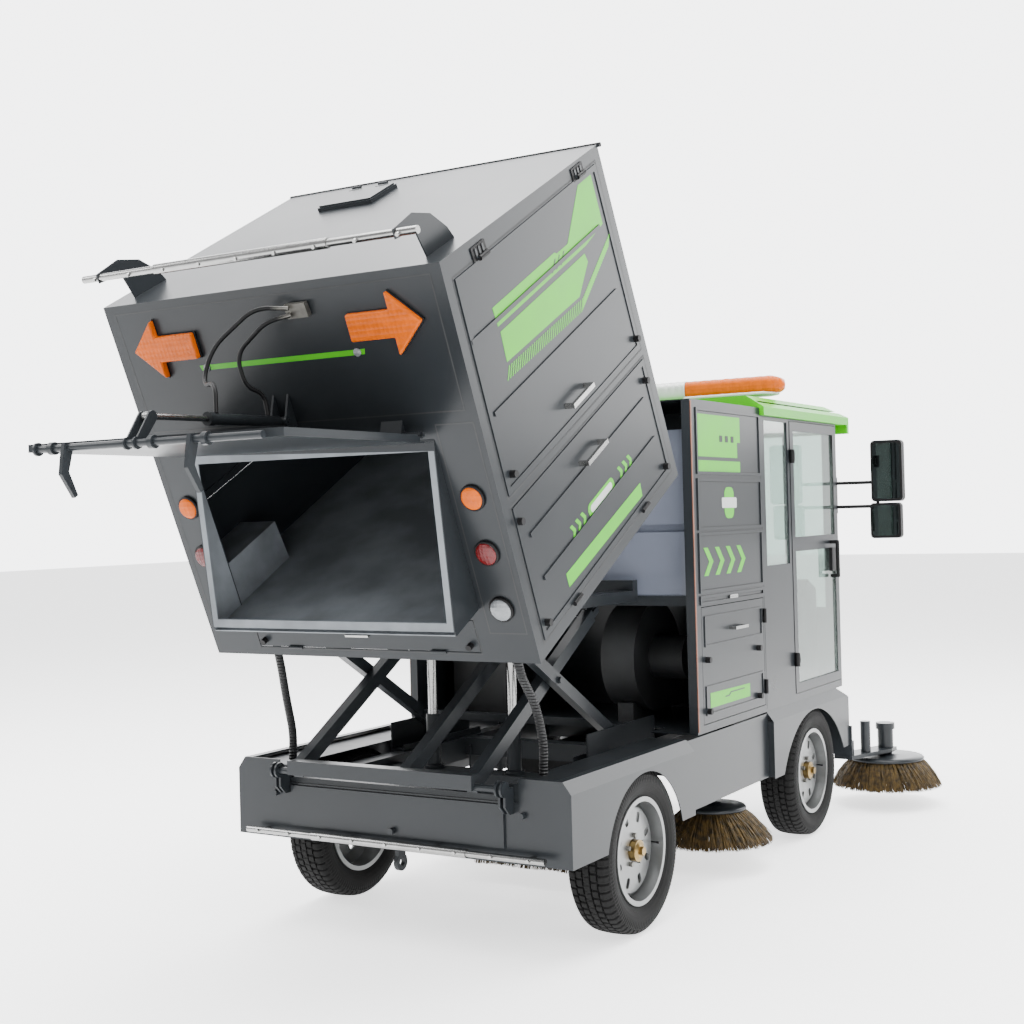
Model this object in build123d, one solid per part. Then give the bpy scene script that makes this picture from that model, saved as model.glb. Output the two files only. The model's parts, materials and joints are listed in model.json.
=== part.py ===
from build123d import *
import os
from math import atan2, cos, degrees, hypot, radians, sin

os.makedirs("parts", exist_ok=True)

# A small cab sweeper with a scissor-lifted, tipping rear hopper, shown raised with its rear door open.
# Millimetres. While it is modelled, the front is +Y, the right side is +X, the ground is z = 0 and the
# rear axle stands at y = 0. The last section moves the finished parts to the middle of their own box.

# ---- driving dimensions -------------------------------------------------------------------------------
WHEELBASE = 1749
TYRE_R = 290
TYRE_W = 165
RIM_SEAT_R = 178
SEAT_GAP = 0.3            # between a tyre and its rim, and between other pieces that are only laid together
RUN_GAP = 0.05            # radial clearance of a shaft in its bore
DOOR_GAP = 3              # joint line round a door or flap
SHEET = 4                 # folded sheet steel

HALF_W = 702              # half width over the fenders
REAR_Y = -532             # outer face of the rear apron
SKIRT_LOW = 339
CHAMFER_LOW = 579
DECK_Z = 620
CHAMFER_IN = 31.5
FENDER_FRONT_Y = 418      # front end of the rear fenders
FRONT_FENDER_Y = 1235     # rear end of the front fenders
NOSE_Y = 2212
TYRE_INSET = 8            # tyre face behind the fender face
ARCH_R = 305
ARCH_Z = 262
FRONT_ARCH_R = 444

BODY_HALF_W = 671         # cab and module
MODULE_REAR_Y = 530
MODULE_FRONT_Y = 1243
MODULE_TOP = 1912
CAB_FRONT_Y = 2216
CAB_TOP = 1880
SHELF_Z = 1146
CAB_WALL = 25

RAIL_X = (375, 445)       # rear chassis rails, inner and outer face
FRONT_RAIL_X = (285, 345)
RAIL_Z = (470, 560)
RAIL_SPLIT_Y = 1180
TOW_EYE_R = 14
TOW_EYE_T = 16
TOW_EYE_Z = 292
MID_HANGER_LOW = 452

ARM_HALF = 585.5          # rear pin to centre pin, along each scissor arm
ARM_TOP_SHARE = 0.745     # centre pin to top pin, as a share of ARM_HALF
ARM_ANGLE = 30.6          # arms above the level, as shown
ARM_PIN_Y = -585
ARM_PIN_Z = 592
ARM_TUBE = (40, 50)
LEVER_TUBE = (36, 44)
ARM_X = (-385, 75, 352)
LEVER_X = (-428, 395)
ARM_WALL = 4
PIN_R = 12
EYE_R = 23.5

CARRIER_GAP = 0.3
CARRIER_RAIL_H = 42
CARRIER_FRONT_Y = 560
ROLLER_R = 20

HOPPER_HALF_W = 674
HOPPER_FLOOR = 1217
HOPPER_TILT = 29.75       # as shown
HOPPER_REAR_Y = -652.5    # rear bottom edge, as shown
HOPPER_REAR_Z = 1012.5
HOPPER_TOP_REAR = (147, 1290)
HOPPER_TOP_FRONT = (1268, 1267)
FLOOR_V = 190             # the true floor above the bottom edge
TILT_U, TILT_V = 80, 235  # tipping pins, from the rear bottom edge
TILT_PIN_R = 14
MOUTH_HALF_W = 497
MOUTH_TOP = (85, 755)
MOUTH_LIP = (-130, 205)
MOUTH_FLANGE = 26

DOOR_PIN = (67, 787)      # rear door hinge in the hopper's own plane
DOOR_LEN = 660
DOOR_HALF_W = 492
HOOK_SHAFT_R = 11
CRANK_X = -40
CYL_PIN = (63.5, 868.4)   # door cylinder pivot in the hopper's own plane
CYL_BARREL = 335
CYL_R = 17
ROD_R = 9

LIFT_X = 178
LIFT_Y = -20
LIFT_BARREL_Z = (322, 735)
LIFT_R = 27
LIFT_ROD_R = 18
LIFT_ROD_LEN = 428

KINGPIN_X = 470
BRUSH_X, BRUSH_Y = 765, 2570
BRUSH_TIP_R, BRUSH_PLATE_R = 268, 184
BRUSH_TIP_Z, BRUSH_PLATE_Z = 92, 222
MID_BRUSH_X, MID_BRUSH_Y = 520, 995
MID_TIP_R, MID_PLATE_R = 245, 135
MID_TIP_Z, MID_PLATE_Z = 110, 242
BROOM_Y, BROOM_Z, BROOM_R = 505, 170, 132
BROOM_HALF = 330

parts = {}


# ---- shapes -------------------------------------------------------------------------------------------
def block(x0, x1, y0, y1, z0, z1):
    return Pos((x0 + x1) / 2, (y0 + y1) / 2, (z0 + z1) / 2) * Box(x1 - x0, y1 - y0, z1 - z0)


def flat(outline):
    return make_face(Polyline(*outline, close=True))


def along_x(outline, x0, x1):
    """A closed (y, z) outline carried along X."""
    return Pos(x0, 0, 0) * extrude(Plane.YZ * flat(outline), amount=x1 - x0, dir=(1, 0, 0))


def along_y(outline, y0, y1):
    """A closed (x, z) outline carried along Y."""
    return Pos(0, y0, 0) * extrude(Plane.XZ * flat(outline), amount=y1 - y0, dir=(0, 1, 0))


def along_z(outline, z0, z1):
    """A closed (x, y) outline carried along Z."""
    return Pos(0, 0, z0) * extrude(flat(outline), amount=z1 - z0, dir=(0, 0, 1))


def rod_x(x0, x1, y, z, r):
    return Pos((x0 + x1) / 2, y, z) * Rot(0, 90, 0) * Cylinder(r, x1 - x0)


def rod_y(y0, y1, x, z, r):
    return Pos(x, (y0 + y1) / 2, z) * Rot(90, 0, 0) * Cylinder(r, y1 - y0)


def rod_z(z0, z1, x, y, r):
    return Pos(x, y, (z0 + z1) / 2) * Cylinder(r, z1 - z0)


def spun(outline):
    """A closed (x, radius) outline turned about the X axis."""
    return revolve(flat(outline), Axis.X)


def beam(start, end, x, size, wall=0):
    """A tube of size (width, height) between two (y, z) points in the plane x."""
    (y0, z0), (y1, z1) = start, end
    length = hypot(y1 - y0, z1 - z0)
    tube = Box(size[0], length, size[1])
    if wall:
        tube -= Box(size[0] - 2 * wall, length + 2, size[1] - 2 * wall)
    return Pos(x, (y0 + y1) / 2, (z0 + z1) / 2) * Rot(degrees(atan2(z1 - z0, y1 - y0)), 0, 0) * tube


def both(*shapes):
    """Each shape and its mirror image on the other side."""
    return [s for shape in shapes for s in (shape, mirror(shape, about=Plane.YZ))]


def panels(bodies, *cuts):
    """The flat panels that the bodies are welded from. Each cut is a point on a plane and its normal."""
    for point, normal in cuts:
        half = Plane(point, z_dir=normal) * Pos(0, 0, 5000) * Box(10000, 10000, 10000)
        pieces = [piece for body in bodies for piece in (body & half, body - half) if piece]
        bodies = [solid for piece in pieces for solid in piece.solids()]
    return bodies


def at_x(*places):
    return [((x, 0, 0), (1, 0, 0)) for x in places]


def at_y(*places):
    return [((0, y, 0), (0, 1, 0)) for y in places]


def at_z(*places):
    return [((0, 0, z), (0, 0, 1)) for z in places]


def sorted_by(bodies, test):
    """The bodies whose middle passes the test, and the rest."""
    return [b for b in bodies if test(b.center())], [b for b in bodies if not test(b.center())]


# ---- wheels -------------------------------------------------------------------------------------------
def tyre():
    half, bead = TYRE_W / 2, 65.7
    bore = RIM_SEAT_R + SEAT_GAP
    edge = Polyline((-bead, bore + 14), (-bead, bore), (bead, bore), (bead, bore + 14))
    edge += ThreePointArc((bead, bore + 14), (half, 238), (62, 284))
    edge += ThreePointArc((62, 284), (0, TYRE_R), (-62, 284))
    edge += ThreePointArc((-62, 284), (-half, 238), (-bead, bore + 14))
    body = revolve(make_face(edge), Axis.X)
    for x in (-41, -14, 14, 41):
        body -= rod_x(x - 3.5, x + 3.5, 0, 0, TYRE_R + 5) - rod_x(x - 4, x + 4, 0, 0, TYRE_R - 9)
    return body


def rim():
    inner = RIM_SEAT_R - 6
    shell = spun([(-66, inner), (66, inner), (66, RIM_SEAT_R), (-66, RIM_SEAT_R)])
    for x0, x1 in ((-72, -66), (66, 72)):
        shell += spun([(x0, inner), (x1, inner), (x1, RIM_SEAT_R + 11), (x0, RIM_SEAT_R + 11)])
    shell += spun([(2, inner), (12, inner), (34, 148), (38, 42), (32, 42), (27, 142)])
    for k in range(8):
        slot = Plane.YZ * (Pos(0, 117) * fillet(Rectangle(24, 38).vertices(), 9))
        shell -= Rot(45 * k + 22.5, 0, 0) * Pos(10, 0, 0) * extrude(slot, amount=40, dir=(1, 0, 0))
    return shell


def hub():
    body = rod_x(-62, 60, 0, 0, 38) + rod_x(20, 30.5, 0, 0, 66)
    body += spun([(60, 0), (60, 34), (66, 22), (66, 0)])
    body += Pos(72, 0, 0) * Rot(0, 90, 0) * extrude(RegularPolygon(16, 6), amount=7, both=True)
    return body - rod_x(-63, 22, 0, 0, 15 + RUN_GAP)


def wheel_nut(k):
    nut = Rot(0, 90, 0) * extrude(RegularPolygon(9, 6), amount=12)
    return Rot(72 * k, 0, 0) * Pos(38.3, 0, 53) * nut


WHEEL_X = HALF_W - TYRE_INSET - TYRE_W / 2
for corner, y in (("rear", 0), ("front", WHEELBASE)):
    place = Pos(WHEEL_X, y, TYRE_R)
    parts[f"tyre_{corner}_right"] = [place * tyre()]
    parts[f"rim_{corner}_right"] = [place * rim(), place * hub()] + [place * wheel_nut(k) for k in range(5)]
    for piece in ("tyre", "rim"):
        parts[f"{piece}_{corner}_left"] = [mirror(s, about=Plane.YZ) for s in parts[f"{piece}_{corner}_right"]]


# ---- axles, springs and knuckles ----------------------------------------------------------------------
def rear_axle():
    body = rod_x(-520, 520, 0, TYRE_R, 28) + rod_x(-WHEEL_X - 15, WHEEL_X + 15, 0, TYRE_R, 15)
    body += Pos(0, 0, TYRE_R) * Sphere(88)
    return body + rod_x(60, 230, 70, TYRE_R + 20, 62)


def front_axle():
    body = block(-455, 455, WHEELBASE - 24, WHEELBASE + 24, TYRE_R - 25, TYRE_R + 25)
    for z0, z1 in ((TYRE_R - 60, TYRE_R - 46), (TYRE_R + 46, TYRE_R + 60)):
        body += block(-495, 495, WHEELBASE - 22, WHEELBASE + 22, z0, z1)
    body -= block(-400, 400, WHEELBASE - 30, WHEELBASE + 30, TYRE_R + 40, TYRE_R + 70)
    body -= block(-400, 400, WHEELBASE - 30, WHEELBASE + 30, TYRE_R - 70, TYRE_R - 40)
    for x0 in (-430, 400):
        body += block(x0, x0 + 30, WHEELBASE - 22, WHEELBASE + 22, TYRE_R - 60, TYRE_R + 60)
    for x in (-KINGPIN_X, KINGPIN_X):
        body -= block(x - 40, x + 40, WHEELBASE - 30, WHEELBASE + 30, TYRE_R - 46, TYRE_R + 46)
        body += rod_z(TYRE_R - 60, TYRE_R + 60, x, WHEELBASE, 10)
    return body


def spring(y, x0, x1, top, hanger_top):
    """A leaf pack on the axle with a hanger at each end, up to the rail."""
    pack = block(x0, x1, y - 270, y + 270, top, top + 22)
    for end in (y - 270, y + 254):
        pack += block(x0, x1, end, end + 16, top, hanger_top)
    return pack


def knuckle():
    body = block(KINGPIN_X - 26, KINGPIN_X + 26, WHEELBASE - 26, WHEELBASE + 26, TYRE_R - 44, TYRE_R + 44)
    body += rod_x(KINGPIN_X + 20, WHEEL_X + 15, WHEELBASE, TYRE_R, 15)
    body += block(KINGPIN_X - 18, KINGPIN_X + 6, WHEELBASE - 130, WHEELBASE - 20, TYRE_R - 12, TYRE_R + 12)
    return body - rod_z(TYRE_R - 50, TYRE_R + 50, KINGPIN_X, WHEELBASE, 10 + RUN_GAP)


parts["axles"] = [rear_axle(), front_axle()]
parts["axles"] += both(spring(0, 385, 435, TYRE_R + 28 + SEAT_GAP, RAIL_Z[0]))
parts["axles"] += both(spring(WHEELBASE, 290, 340, TYRE_R + 25 + SEAT_GAP, RAIL_Z[0]))
parts["knuckle_right"] = [knuckle()]
parts["knuckle_left"] = [mirror(knuckle(), about=Plane.YZ)]


# ---- chassis ------------------------------------------------------------------------------------------
TRACK_HALF = LEVER_TUBE[0] / 2 + 8


def track(x):
    """A roller channel on the rail, with a tall outer wall and a low inner lip."""
    out = 1 if x > 0 else -1
    floor = block(x - TRACK_HALF, x + TRACK_HALF, 90, 650, RAIL_Z[1], RAIL_Z[1] + 10)
    tall = block(x - 3, x + 3, 90, 650, RAIL_Z[1], 672)
    low = block(x - 2.5, x + 2.5, 90, 650, RAIL_Z[1], 585)
    return floor + Pos(out * (TRACK_HALF + 3), 0, 0) * tall + Pos(-out * (TRACK_HALF + 2.5), 0, 0) * low


def chassis_frame():
    low, high = RAIL_Z
    body = block(-RAIL_X[1], RAIL_X[1], REAR_Y + SHEET, REAR_Y + 54, low, high)
    for y0 in (LIFT_Y - 50, 620, RAIL_SPLIT_Y):
        body += block(-RAIL_X[1], RAIL_X[1], y0, y0 + 100, low, low + 60)
    body += block(-FRONT_RAIL_X[1], FRONT_RAIL_X[1], NOSE_Y - 62, NOSE_Y - SHEET, low, high)
    for side in (-1, 1):
        x0, x1 = sorted((side * RAIL_X[0], side * RAIL_X[1]))
        body += block(x0, x1, REAR_Y + SHEET, RAIL_SPLIT_Y + 100, low, high)
        x0, x1 = sorted((side * FRONT_RAIL_X[0], side * FRONT_RAIL_X[1]))
        body += block(x0, x1, RAIL_SPLIT_Y, NOSE_Y - SHEET, low, high)
        for y0 in (REAR_Y + SHEET, 350, RAIL_SPLIT_Y + 40):
            x0, x1 = sorted((side * 430, side * (BODY_HALF_W - 10)))
            body += block(x0, x1, y0, y0 + 30, low + 20, high)
        x0, x1 = sorted((side * (BROOM_HALF + 12), side * (BROOM_HALF + 20)))
        arm = along_x([(BROOM_Y - 30, BROOM_Z - 30), (BROOM_Y + 30, BROOM_Z - 30), (BROOM_Y + 70, low + 60),
                       (BROOM_Y - 20, low + 60)], x0, x1)
        arm -= rod_x(x0 - 1, x1 + 1, BROOM_Y, BROOM_Z, 16 + RUN_GAP)
        body += arm
    body += block(-RAIL_X[1], RAIL_X[1], BROOM_Y - 10, BROOM_Y + 60, low + 20, high)
    for x in LEVER_X:
        body += track(x)
    for x in (-LIFT_X, LIFT_X):
        body -= rod_z(low - 5, high + 5, x, LIFT_Y, LIFT_R + SEAT_GAP)
    for side in (-1, 1):
        body += mid_brush_hanger(side)
    return body


def mid_brush_hanger(side):
    """A post and motor plate that carry the middle side brush from the rail."""
    x = side * MID_BRUSH_X
    x0, x1 = sorted((side * 430, x + side * 35))
    plate = block(x0, x1, MID_BRUSH_Y - 35, MID_BRUSH_Y + 35, MID_HANGER_LOW, RAIL_Z[0] + 4)
    x0, x1 = sorted((side * 400, side * 445))
    plate += block(x0, x1, MID_BRUSH_Y - 35, MID_BRUSH_Y + 35, MID_HANGER_LOW, RAIL_Z[0] + 4)
    plate += rod_z(345, MID_HANGER_LOW + 3, x, MID_BRUSH_Y, 42)
    return plate + rod_z(MID_PLATE_Z + 30, 350, x, MID_BRUSH_Y, 14)


def deck():
    """Side strips of deck plate over the wheels, either side of the open middle."""
    strips = []
    for side in (-1, 1):
        x0, x1 = sorted((side * 466, side * (BODY_HALF_W - 6)))
        strips.append(block(x0, x1, REAR_Y + SHEET, MODULE_REAR_Y - 6, 598, 602)
                      + block(x0, x1, REAR_Y + SHEET, REAR_Y + SHEET + 40, 560, 600))
    return strips


def tow_eye():
    """A plate with a shackle hole that hangs from the rear cross member, below the apron."""
    y = REAR_Y + 32
    plate = block(-TOW_EYE_T / 2, TOW_EYE_T / 2, y - 20, y + 20, TOW_EYE_Z, RAIL_Z[0] - 0.2)
    plate += rod_x(-TOW_EYE_T / 2, TOW_EYE_T / 2, y, TOW_EYE_Z, TOW_EYE_R + 16)
    return plate - rod_x(-TOW_EYE_T, TOW_EYE_T, y, TOW_EYE_Z, TOW_EYE_R)


def chassis_members():
    """The frame as its rails, cross members, tracks and hangers."""
    low, high = RAIL_Z
    (inner, outer), (front_inner, front_outer) = RAIL_X, FRONT_RAIL_X
    above, frame = sorted_by(panels([chassis_frame()], *at_z(low, high)), lambda c: c.Z > high)
    below, frame = sorted_by(frame, lambda c: c.Z < low)
    lips = [x + s * TRACK_HALF for x in LEVER_X for s in (-1, 1)]
    above = panels(above, *at_x(*lips))
    below = panels(below, *at_z(MID_HANGER_LOW), *at_x(-outer, outer))
    frame = panels(frame, *at_x(-outer, -inner, inner, outer))
    inside, frame = sorted_by(frame, lambda c: abs(c.X) < inner)
    inside = panels(inside, *at_x(-front_outer, -front_inner, front_inner, front_outer), *at_y(RAIL_SPLIT_Y))
    return above + below + frame + inside


parts["chassis_frame"] = chassis_members() + deck() + [tow_eye()]


# ---- skirts and apron ---------------------------------------------------------------------------------
def fender_section(half_w, low):
    """(x, z) section of a skirt with a chamfered top edge, for the right side."""
    top_x = half_w - CHAMFER_IN
    return [(half_w, low), (half_w, CHAMFER_LOW), (top_x, DECK_Z), (top_x - 32, DECK_Z),
            (top_x - 32, DECK_Z - SHEET), (top_x - 2, DECK_Z - SHEET), (half_w - SHEET, CHAMFER_LOW - 1),
            (half_w - SHEET, low)]


def skirts():
    rear = along_y(fender_section(HALF_W, SKIRT_LOW), REAR_Y + SHEET, FENDER_FRONT_Y)
    rear -= rod_x(HALF_W - 60, HALF_W + 10, 8, ARCH_Z, ARCH_R)
    x = HALF_W - CHAMFER_IN + 4
    middle = block(x - SHEET, x, FENDER_FRONT_Y, FRONT_FENDER_Y, 345, DECK_Z - 6)
    middle += block(x - SHEET, HALF_W, FENDER_FRONT_Y - SHEET, FENDER_FRONT_Y, 360, CHAMFER_LOW)
    front = along_y(fender_section(HALF_W, SKIRT_LOW), FRONT_FENDER_Y, NOSE_Y)
    arch_z = CHAMFER_LOW - 8 - FRONT_ARCH_R
    front -= rod_x(HALF_W - 80, HALF_W + 10, WHEELBASE - 14, arch_z, FRONT_ARCH_R)
    front += block(x - SHEET, HALF_W, FRONT_FENDER_Y, FRONT_FENDER_Y + SHEET, 345, CHAMFER_LOW)
    nose = along_y([(300, 420), (HALF_W, 420), (HALF_W, CHAMFER_LOW), (HALF_W - CHAMFER_IN, DECK_Z), (300, DECK_Z)],
                   NOSE_Y - SHEET, NOSE_Y)
    corner = along_x([(NOSE_Y - 88, DECK_Z + 1), (NOSE_Y + 1, 567), (NOSE_Y + 1, DECK_Z + 1)], 600, HALF_W + 5)
    return rear + middle + (front + nose - corner)


def nose_panel():
    return block(-300, 300, NOSE_Y - SHEET, NOSE_Y, 420, DECK_Z - 20)


def skirt_panels():
    """The skirt as its top ledge and its walls, which are cut into strips round the wheel arches."""
    ledge, walls = sorted_by(panels([skirts()], *at_z(CHAMFER_LOW - 1)), lambda c: c.Z > CHAMFER_LOW - 1)
    ends = at_y(FENDER_FRONT_Y - SHEET, FENDER_FRONT_Y, FRONT_FENDER_Y, FRONT_FENDER_Y + SHEET, NOSE_Y - SHEET)
    strips = [8 + s * d for d in (70, 140, 200, 250, 290) for s in (-1, 1)]
    strips += [WHEELBASE - 14 + s * d for d in (60, 170, 270, 350, 400) for s in (-1, 1)]
    return panels(ledge, *ends) + panels(walls, *ends, *at_y(*strips))


parts["side_skirts"] = both(*skirt_panels()) + [nose_panel()]

NOTCH_HALF = 505


def apron():
    top_x = HALF_W - CHAMFER_IN
    outline = [(-HALF_W, SKIRT_LOW), (HALF_W, SKIRT_LOW), (HALF_W, CHAMFER_LOW), (top_x, DECK_Z),
               (NOTCH_HALF, DECK_Z), (NOTCH_HALF, 540), (-NOTCH_HALF, 540), (-NOTCH_HALF, DECK_Z),
               (-top_x, DECK_Z), (-HALF_W, CHAMFER_LOW)]
    body = along_y(outline, REAR_Y, REAR_Y + SHEET)
    for x in (-478, 466):
        for x0 in (x - 8, x + 12):
            lug = block(x0, x0 + 8, ARM_PIN_Y, REAR_Y, 505, ARM_PIN_Z) + rod_x(x0, x0 + 8, ARM_PIN_Y, ARM_PIN_Z, 27)
            lug -= along_x([(ARM_PIN_Y - 28, 500), (REAR_Y - 20, 500), (ARM_PIN_Y - 28, 560)], x0 - 1, x0 + 9)
            body += lug - rod_x(x0 - 1, x0 + 9, ARM_PIN_Y, ARM_PIN_Z, PIN_R + RUN_GAP)
    return body


def knob(x, y, z):
    """A small black turn knob on a rear-facing panel."""
    return rod_y(y - 18, y - SEAT_GAP, x, z, 11)


apron_panels = panels([apron()], *at_y(REAR_Y), *at_x(-NOTCH_HALF, NOTCH_HALF))
parts["rear_apron"] = apron_panels + [block(-449, 449, REAR_Y - 9, REAR_Y - SEAT_GAP, 388, 532)]
parts["rear_apron"] += [knob(x, REAR_Y, 500) for x in (-520, 520)] + [knob(0, REAR_Y - 9, 408)]


def spray_bar(half, y, z, r):
    bar = rod_x(-half, half, y, z, r) + rod_x(-half * 0.52, half * 0.52, y, z, r * 1.35)
    for k in range(9):
        bar += rod_y(y - r - 9, y, half * (k - 4) / 4.4, z, 6)
    return bar


LOW_BAR_Y, LOW_BAR_Z, LOW_BAR_R = REAR_Y - 44, 368, 11
low_bar = spray_bar(625, LOW_BAR_Y, LOW_BAR_Z, LOW_BAR_R)
for x in (-560, -180, 180, 560):
    low_bar += block(x - 8, x + 8, LOW_BAR_Y, REAR_Y - SEAT_GAP, LOW_BAR_Z - 4, LOW_BAR_Z + 4)
parts["lower_spray_bar"] = [low_bar]


# ---- scissor lift -------------------------------------------------------------------------------------
REST = radians(ARM_ANGLE)
REAR_PIN = (ARM_PIN_Y, ARM_PIN_Z)
CENTRE_PIN = (ARM_PIN_Y + ARM_HALF * cos(REST), ARM_PIN_Z + ARM_HALF * sin(REST))
FRONT_PIN = (ARM_PIN_Y + 2 * ARM_HALF * cos(REST), ARM_PIN_Z)
TOP = ARM_HALF * ARM_TOP_SHARE
TOP_FRONT_PIN = (CENTRE_PIN[0] + TOP * cos(REST), CENTRE_PIN[1] + TOP * sin(REST))
TOP_REAR_PIN = (CENTRE_PIN[0] - TOP * cos(REST), CENTRE_PIN[1] + TOP * sin(REST))


def between(start, end, along):
    """The point at a distance from start towards end."""
    share = along / hypot(end[0] - start[0], end[1] - start[1])
    return (start[0] + (end[0] - start[0]) * share, start[1] + (end[1] - start[1]) * share)


def fork_end(x, width, tube_end, pin, roller_r):
    """Two cheeks, a pin and a roller at the end of an arm."""
    end = None
    for side in (-1, 1):
        cheek = beam(tube_end, pin, x + side * (width / 2 - 2.5), (5, 26))
        cheek += rod_x(x + side * (width / 2 - 2.5) - 2.5, x + side * (width / 2 - 2.5) + 2.5, pin[0], pin[1], 14)
        end = cheek if end is None else end + cheek
    roller = rod_x(x - width / 2 + 6, x + width / 2 - 6, pin[0], pin[1], roller_r)
    return end + roller + rod_x(x - width / 2 + 1, x + width / 2 - 1, pin[0], pin[1], 7)


def rear_hinged_arms():
    body = rod_x(-470, 486, *REAR_PIN, PIN_R)
    body += block(ARM_X[0] - 20, ARM_X[2] + 20, ARM_PIN_Y - 25, ARM_PIN_Y + 25, ARM_PIN_Z - 9, ARM_PIN_Z + 41)
    tie = between(TOP_FRONT_PIN, REAR_PIN, 75)
    body += block(ARM_X[0], ARM_X[2], tie[0] - 18, tie[0] + 18, tie[1] - 18, tie[1] + 18)
    for x in ARM_X:
        roller = x != ARM_X[1]
        top = between(TOP_FRONT_PIN, REAR_PIN, 34 if roller else 75)
        body += beam(REAR_PIN, top, x, ARM_TUBE)
        if roller:
            body += fork_end(x, ARM_TUBE[0], between(TOP_FRONT_PIN, REAR_PIN, 40), TOP_FRONT_PIN, ROLLER_R)
    for x, out in ((ARM_X[0], -1), (ARM_X[2], 1)):
        x0, x1 = sorted((x, x + out * 72))
        body += rod_x(x0, x1, *CENTRE_PIN, PIN_R)
    return body


def front_hinged_arms():
    body = None
    for x in LEVER_X:
        low = between(FRONT_PIN, TOP_REAR_PIN, 34)
        arm = beam(low, TOP_REAR_PIN, x, LEVER_TUBE)
        width = LEVER_TUBE[0]
        arm += rod_x(x - width / 2, x + width / 2, *TOP_REAR_PIN, EYE_R)
        arm += fork_end(x, width, between(FRONT_PIN, TOP_REAR_PIN, 40), FRONT_PIN, ARM_PIN_Z - RAIL_Z[1] - 10 - SEAT_GAP)
        arm -= rod_x(x - width, x + width, *CENTRE_PIN, PIN_R + RUN_GAP)
        arm -= rod_x(x - width, x + width, *TOP_REAR_PIN, PIN_R + RUN_GAP)
        body = arm if body is None else body + arm
    for start, end, along in ((FRONT_PIN, TOP_REAR_PIN, 193), (TOP_REAR_PIN, FRONT_PIN, 62)):
        tie = between(start, end, along)
        body += block(LEVER_X[0], LEVER_X[1], tie[0] - 15, tie[0] + 15, tie[1] - 15, tie[1] + 15)
    return body


parts["scissor_arms_rear"] = [rear_hinged_arms()]
parts["scissor_arms_front"] = [front_hinged_arms()]

# The hopper's own plane: u runs forward along its bottom edge and v up, from the rear bottom edge.
HOPPER_PLACE = Pos(0, HOPPER_REAR_Y, HOPPER_REAR_Z) * Rot(HOPPER_TILT, 0, 0)


def in_world(u, v):
    """A point of the hopper's own plane, as (y, z) where it stands."""
    t = radians(HOPPER_TILT)
    return (HOPPER_REAR_Y + u * cos(t) - v * sin(t), HOPPER_REAR_Z + u * sin(t) + v * cos(t))


TILT_PIN = in_world(TILT_U, TILT_V)
RAIL_LOW = TOP_FRONT_PIN[1] + ROLLER_R + CARRIER_GAP
RAIL_HIGH = RAIL_LOW + CARRIER_RAIL_H
TILT_BRACKET_X = (548, 572)


def carrier():
    rails = ((LEVER_X[0] - 18, ARM_X[0] + 20), (ARM_X[2] - 20, LEVER_X[1] + 18))
    body = None
    for x0, x1 in rails:
        rail = block(x0, x1, -540, CARRIER_FRONT_Y, RAIL_LOW, RAIL_HIGH)
        body = rail if body is None else body + rail
    x_left, x_right = rails[0][0], rails[1][1]
    for y0, y1 in ((LIFT_Y - 45, LIFT_Y + 85), (CARRIER_FRONT_Y - 42, CARRIER_FRONT_Y)):
        body += block(x_left, x_right, y0, y1, RAIL_LOW, RAIL_HIGH)
    body += block(x_left, x_right, CARRIER_FRONT_Y - 40, CARRIER_FRONT_Y, RAIL_HIGH, RAIL_HIGH + 40)
    body += block(-TILT_BRACKET_X[1], TILT_BRACKET_X[1], -540, -500, RAIL_LOW, RAIL_HIGH)
    for side in (-1, 1):
        x0, x1 = sorted((side * TILT_BRACKET_X[0], side * TILT_BRACKET_X[1]))
        ear = along_x([(-540, RAIL_LOW), (-500, RAIL_LOW), (-500, RAIL_HIGH + 10),
                       (TILT_PIN[0] + 22, TILT_PIN[1] + 12), (TILT_PIN[0] - 16, TILT_PIN[1] - 16)], x0, x1)
        ear += rod_x(x0, x1, *TILT_PIN, 26)
        body += ear - rod_x(x0 - 1, x1 + 1, *TILT_PIN, TILT_PIN_R + RUN_GAP)
    for x in LEVER_X:
        half = LEVER_TUBE[0] / 2 + 1
        for x0 in (x - half - 8, x + half):
            lug = block(x0, x0 + 8, TOP_REAR_PIN[0] - 20, TOP_REAR_PIN[0] + 20, TOP_REAR_PIN[1], RAIL_LOW)
            body += lug + rod_x(x0, x0 + 8, *TOP_REAR_PIN, 20)
        body -= rod_x(x - half, x + half, *TOP_REAR_PIN, EYE_R + 2.5)
        body += rod_x(x - half - 8, x + half + 8, *TOP_REAR_PIN, PIN_R)
    return body


parts["carrier_frame"] = [carrier()]


def lift_barrel(x):
    body = rod_z(*LIFT_BARREL_Z, x, LIFT_Y, LIFT_R) + rod_z(RAIL_Z[0] + 60, RAIL_Z[0] + 72, x, LIFT_Y, LIFT_R + 12)
    return body - rod_z(LIFT_BARREL_Z[0] + 5, LIFT_BARREL_Z[1] + 1, x, LIFT_Y, LIFT_ROD_R + RUN_GAP)


def lift_rod(x):
    top = RAIL_LOW - SEAT_GAP
    return rod_z(top - LIFT_ROD_LEN, top, x, LIFT_Y, LIFT_ROD_R)


parts["lift_rods"] = [lift_rod(x) for x in (-LIFT_X, LIFT_X)]


# ---- hopper -------------------------------------------------------------------------------------------
def rear_u(v):
    return HOPPER_TOP_REAR[0] * v / HOPPER_TOP_REAR[1]


def front_u(v):
    return HOPPER_FLOOR + (HOPPER_TOP_FRONT[0] - HOPPER_FLOOR) * v / HOPPER_TOP_FRONT[1]


def hopper_side(v0, v1, inset):
    """A side outline between two heights, inset from the rear and front faces."""
    rear, front = [(rear_u(v) + inset, v) for v in (v0, v1)], [(front_u(v) - inset, v) for v in (v0, v1)]
    return [rear[0], front[0], front[1], rear[1]]


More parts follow.
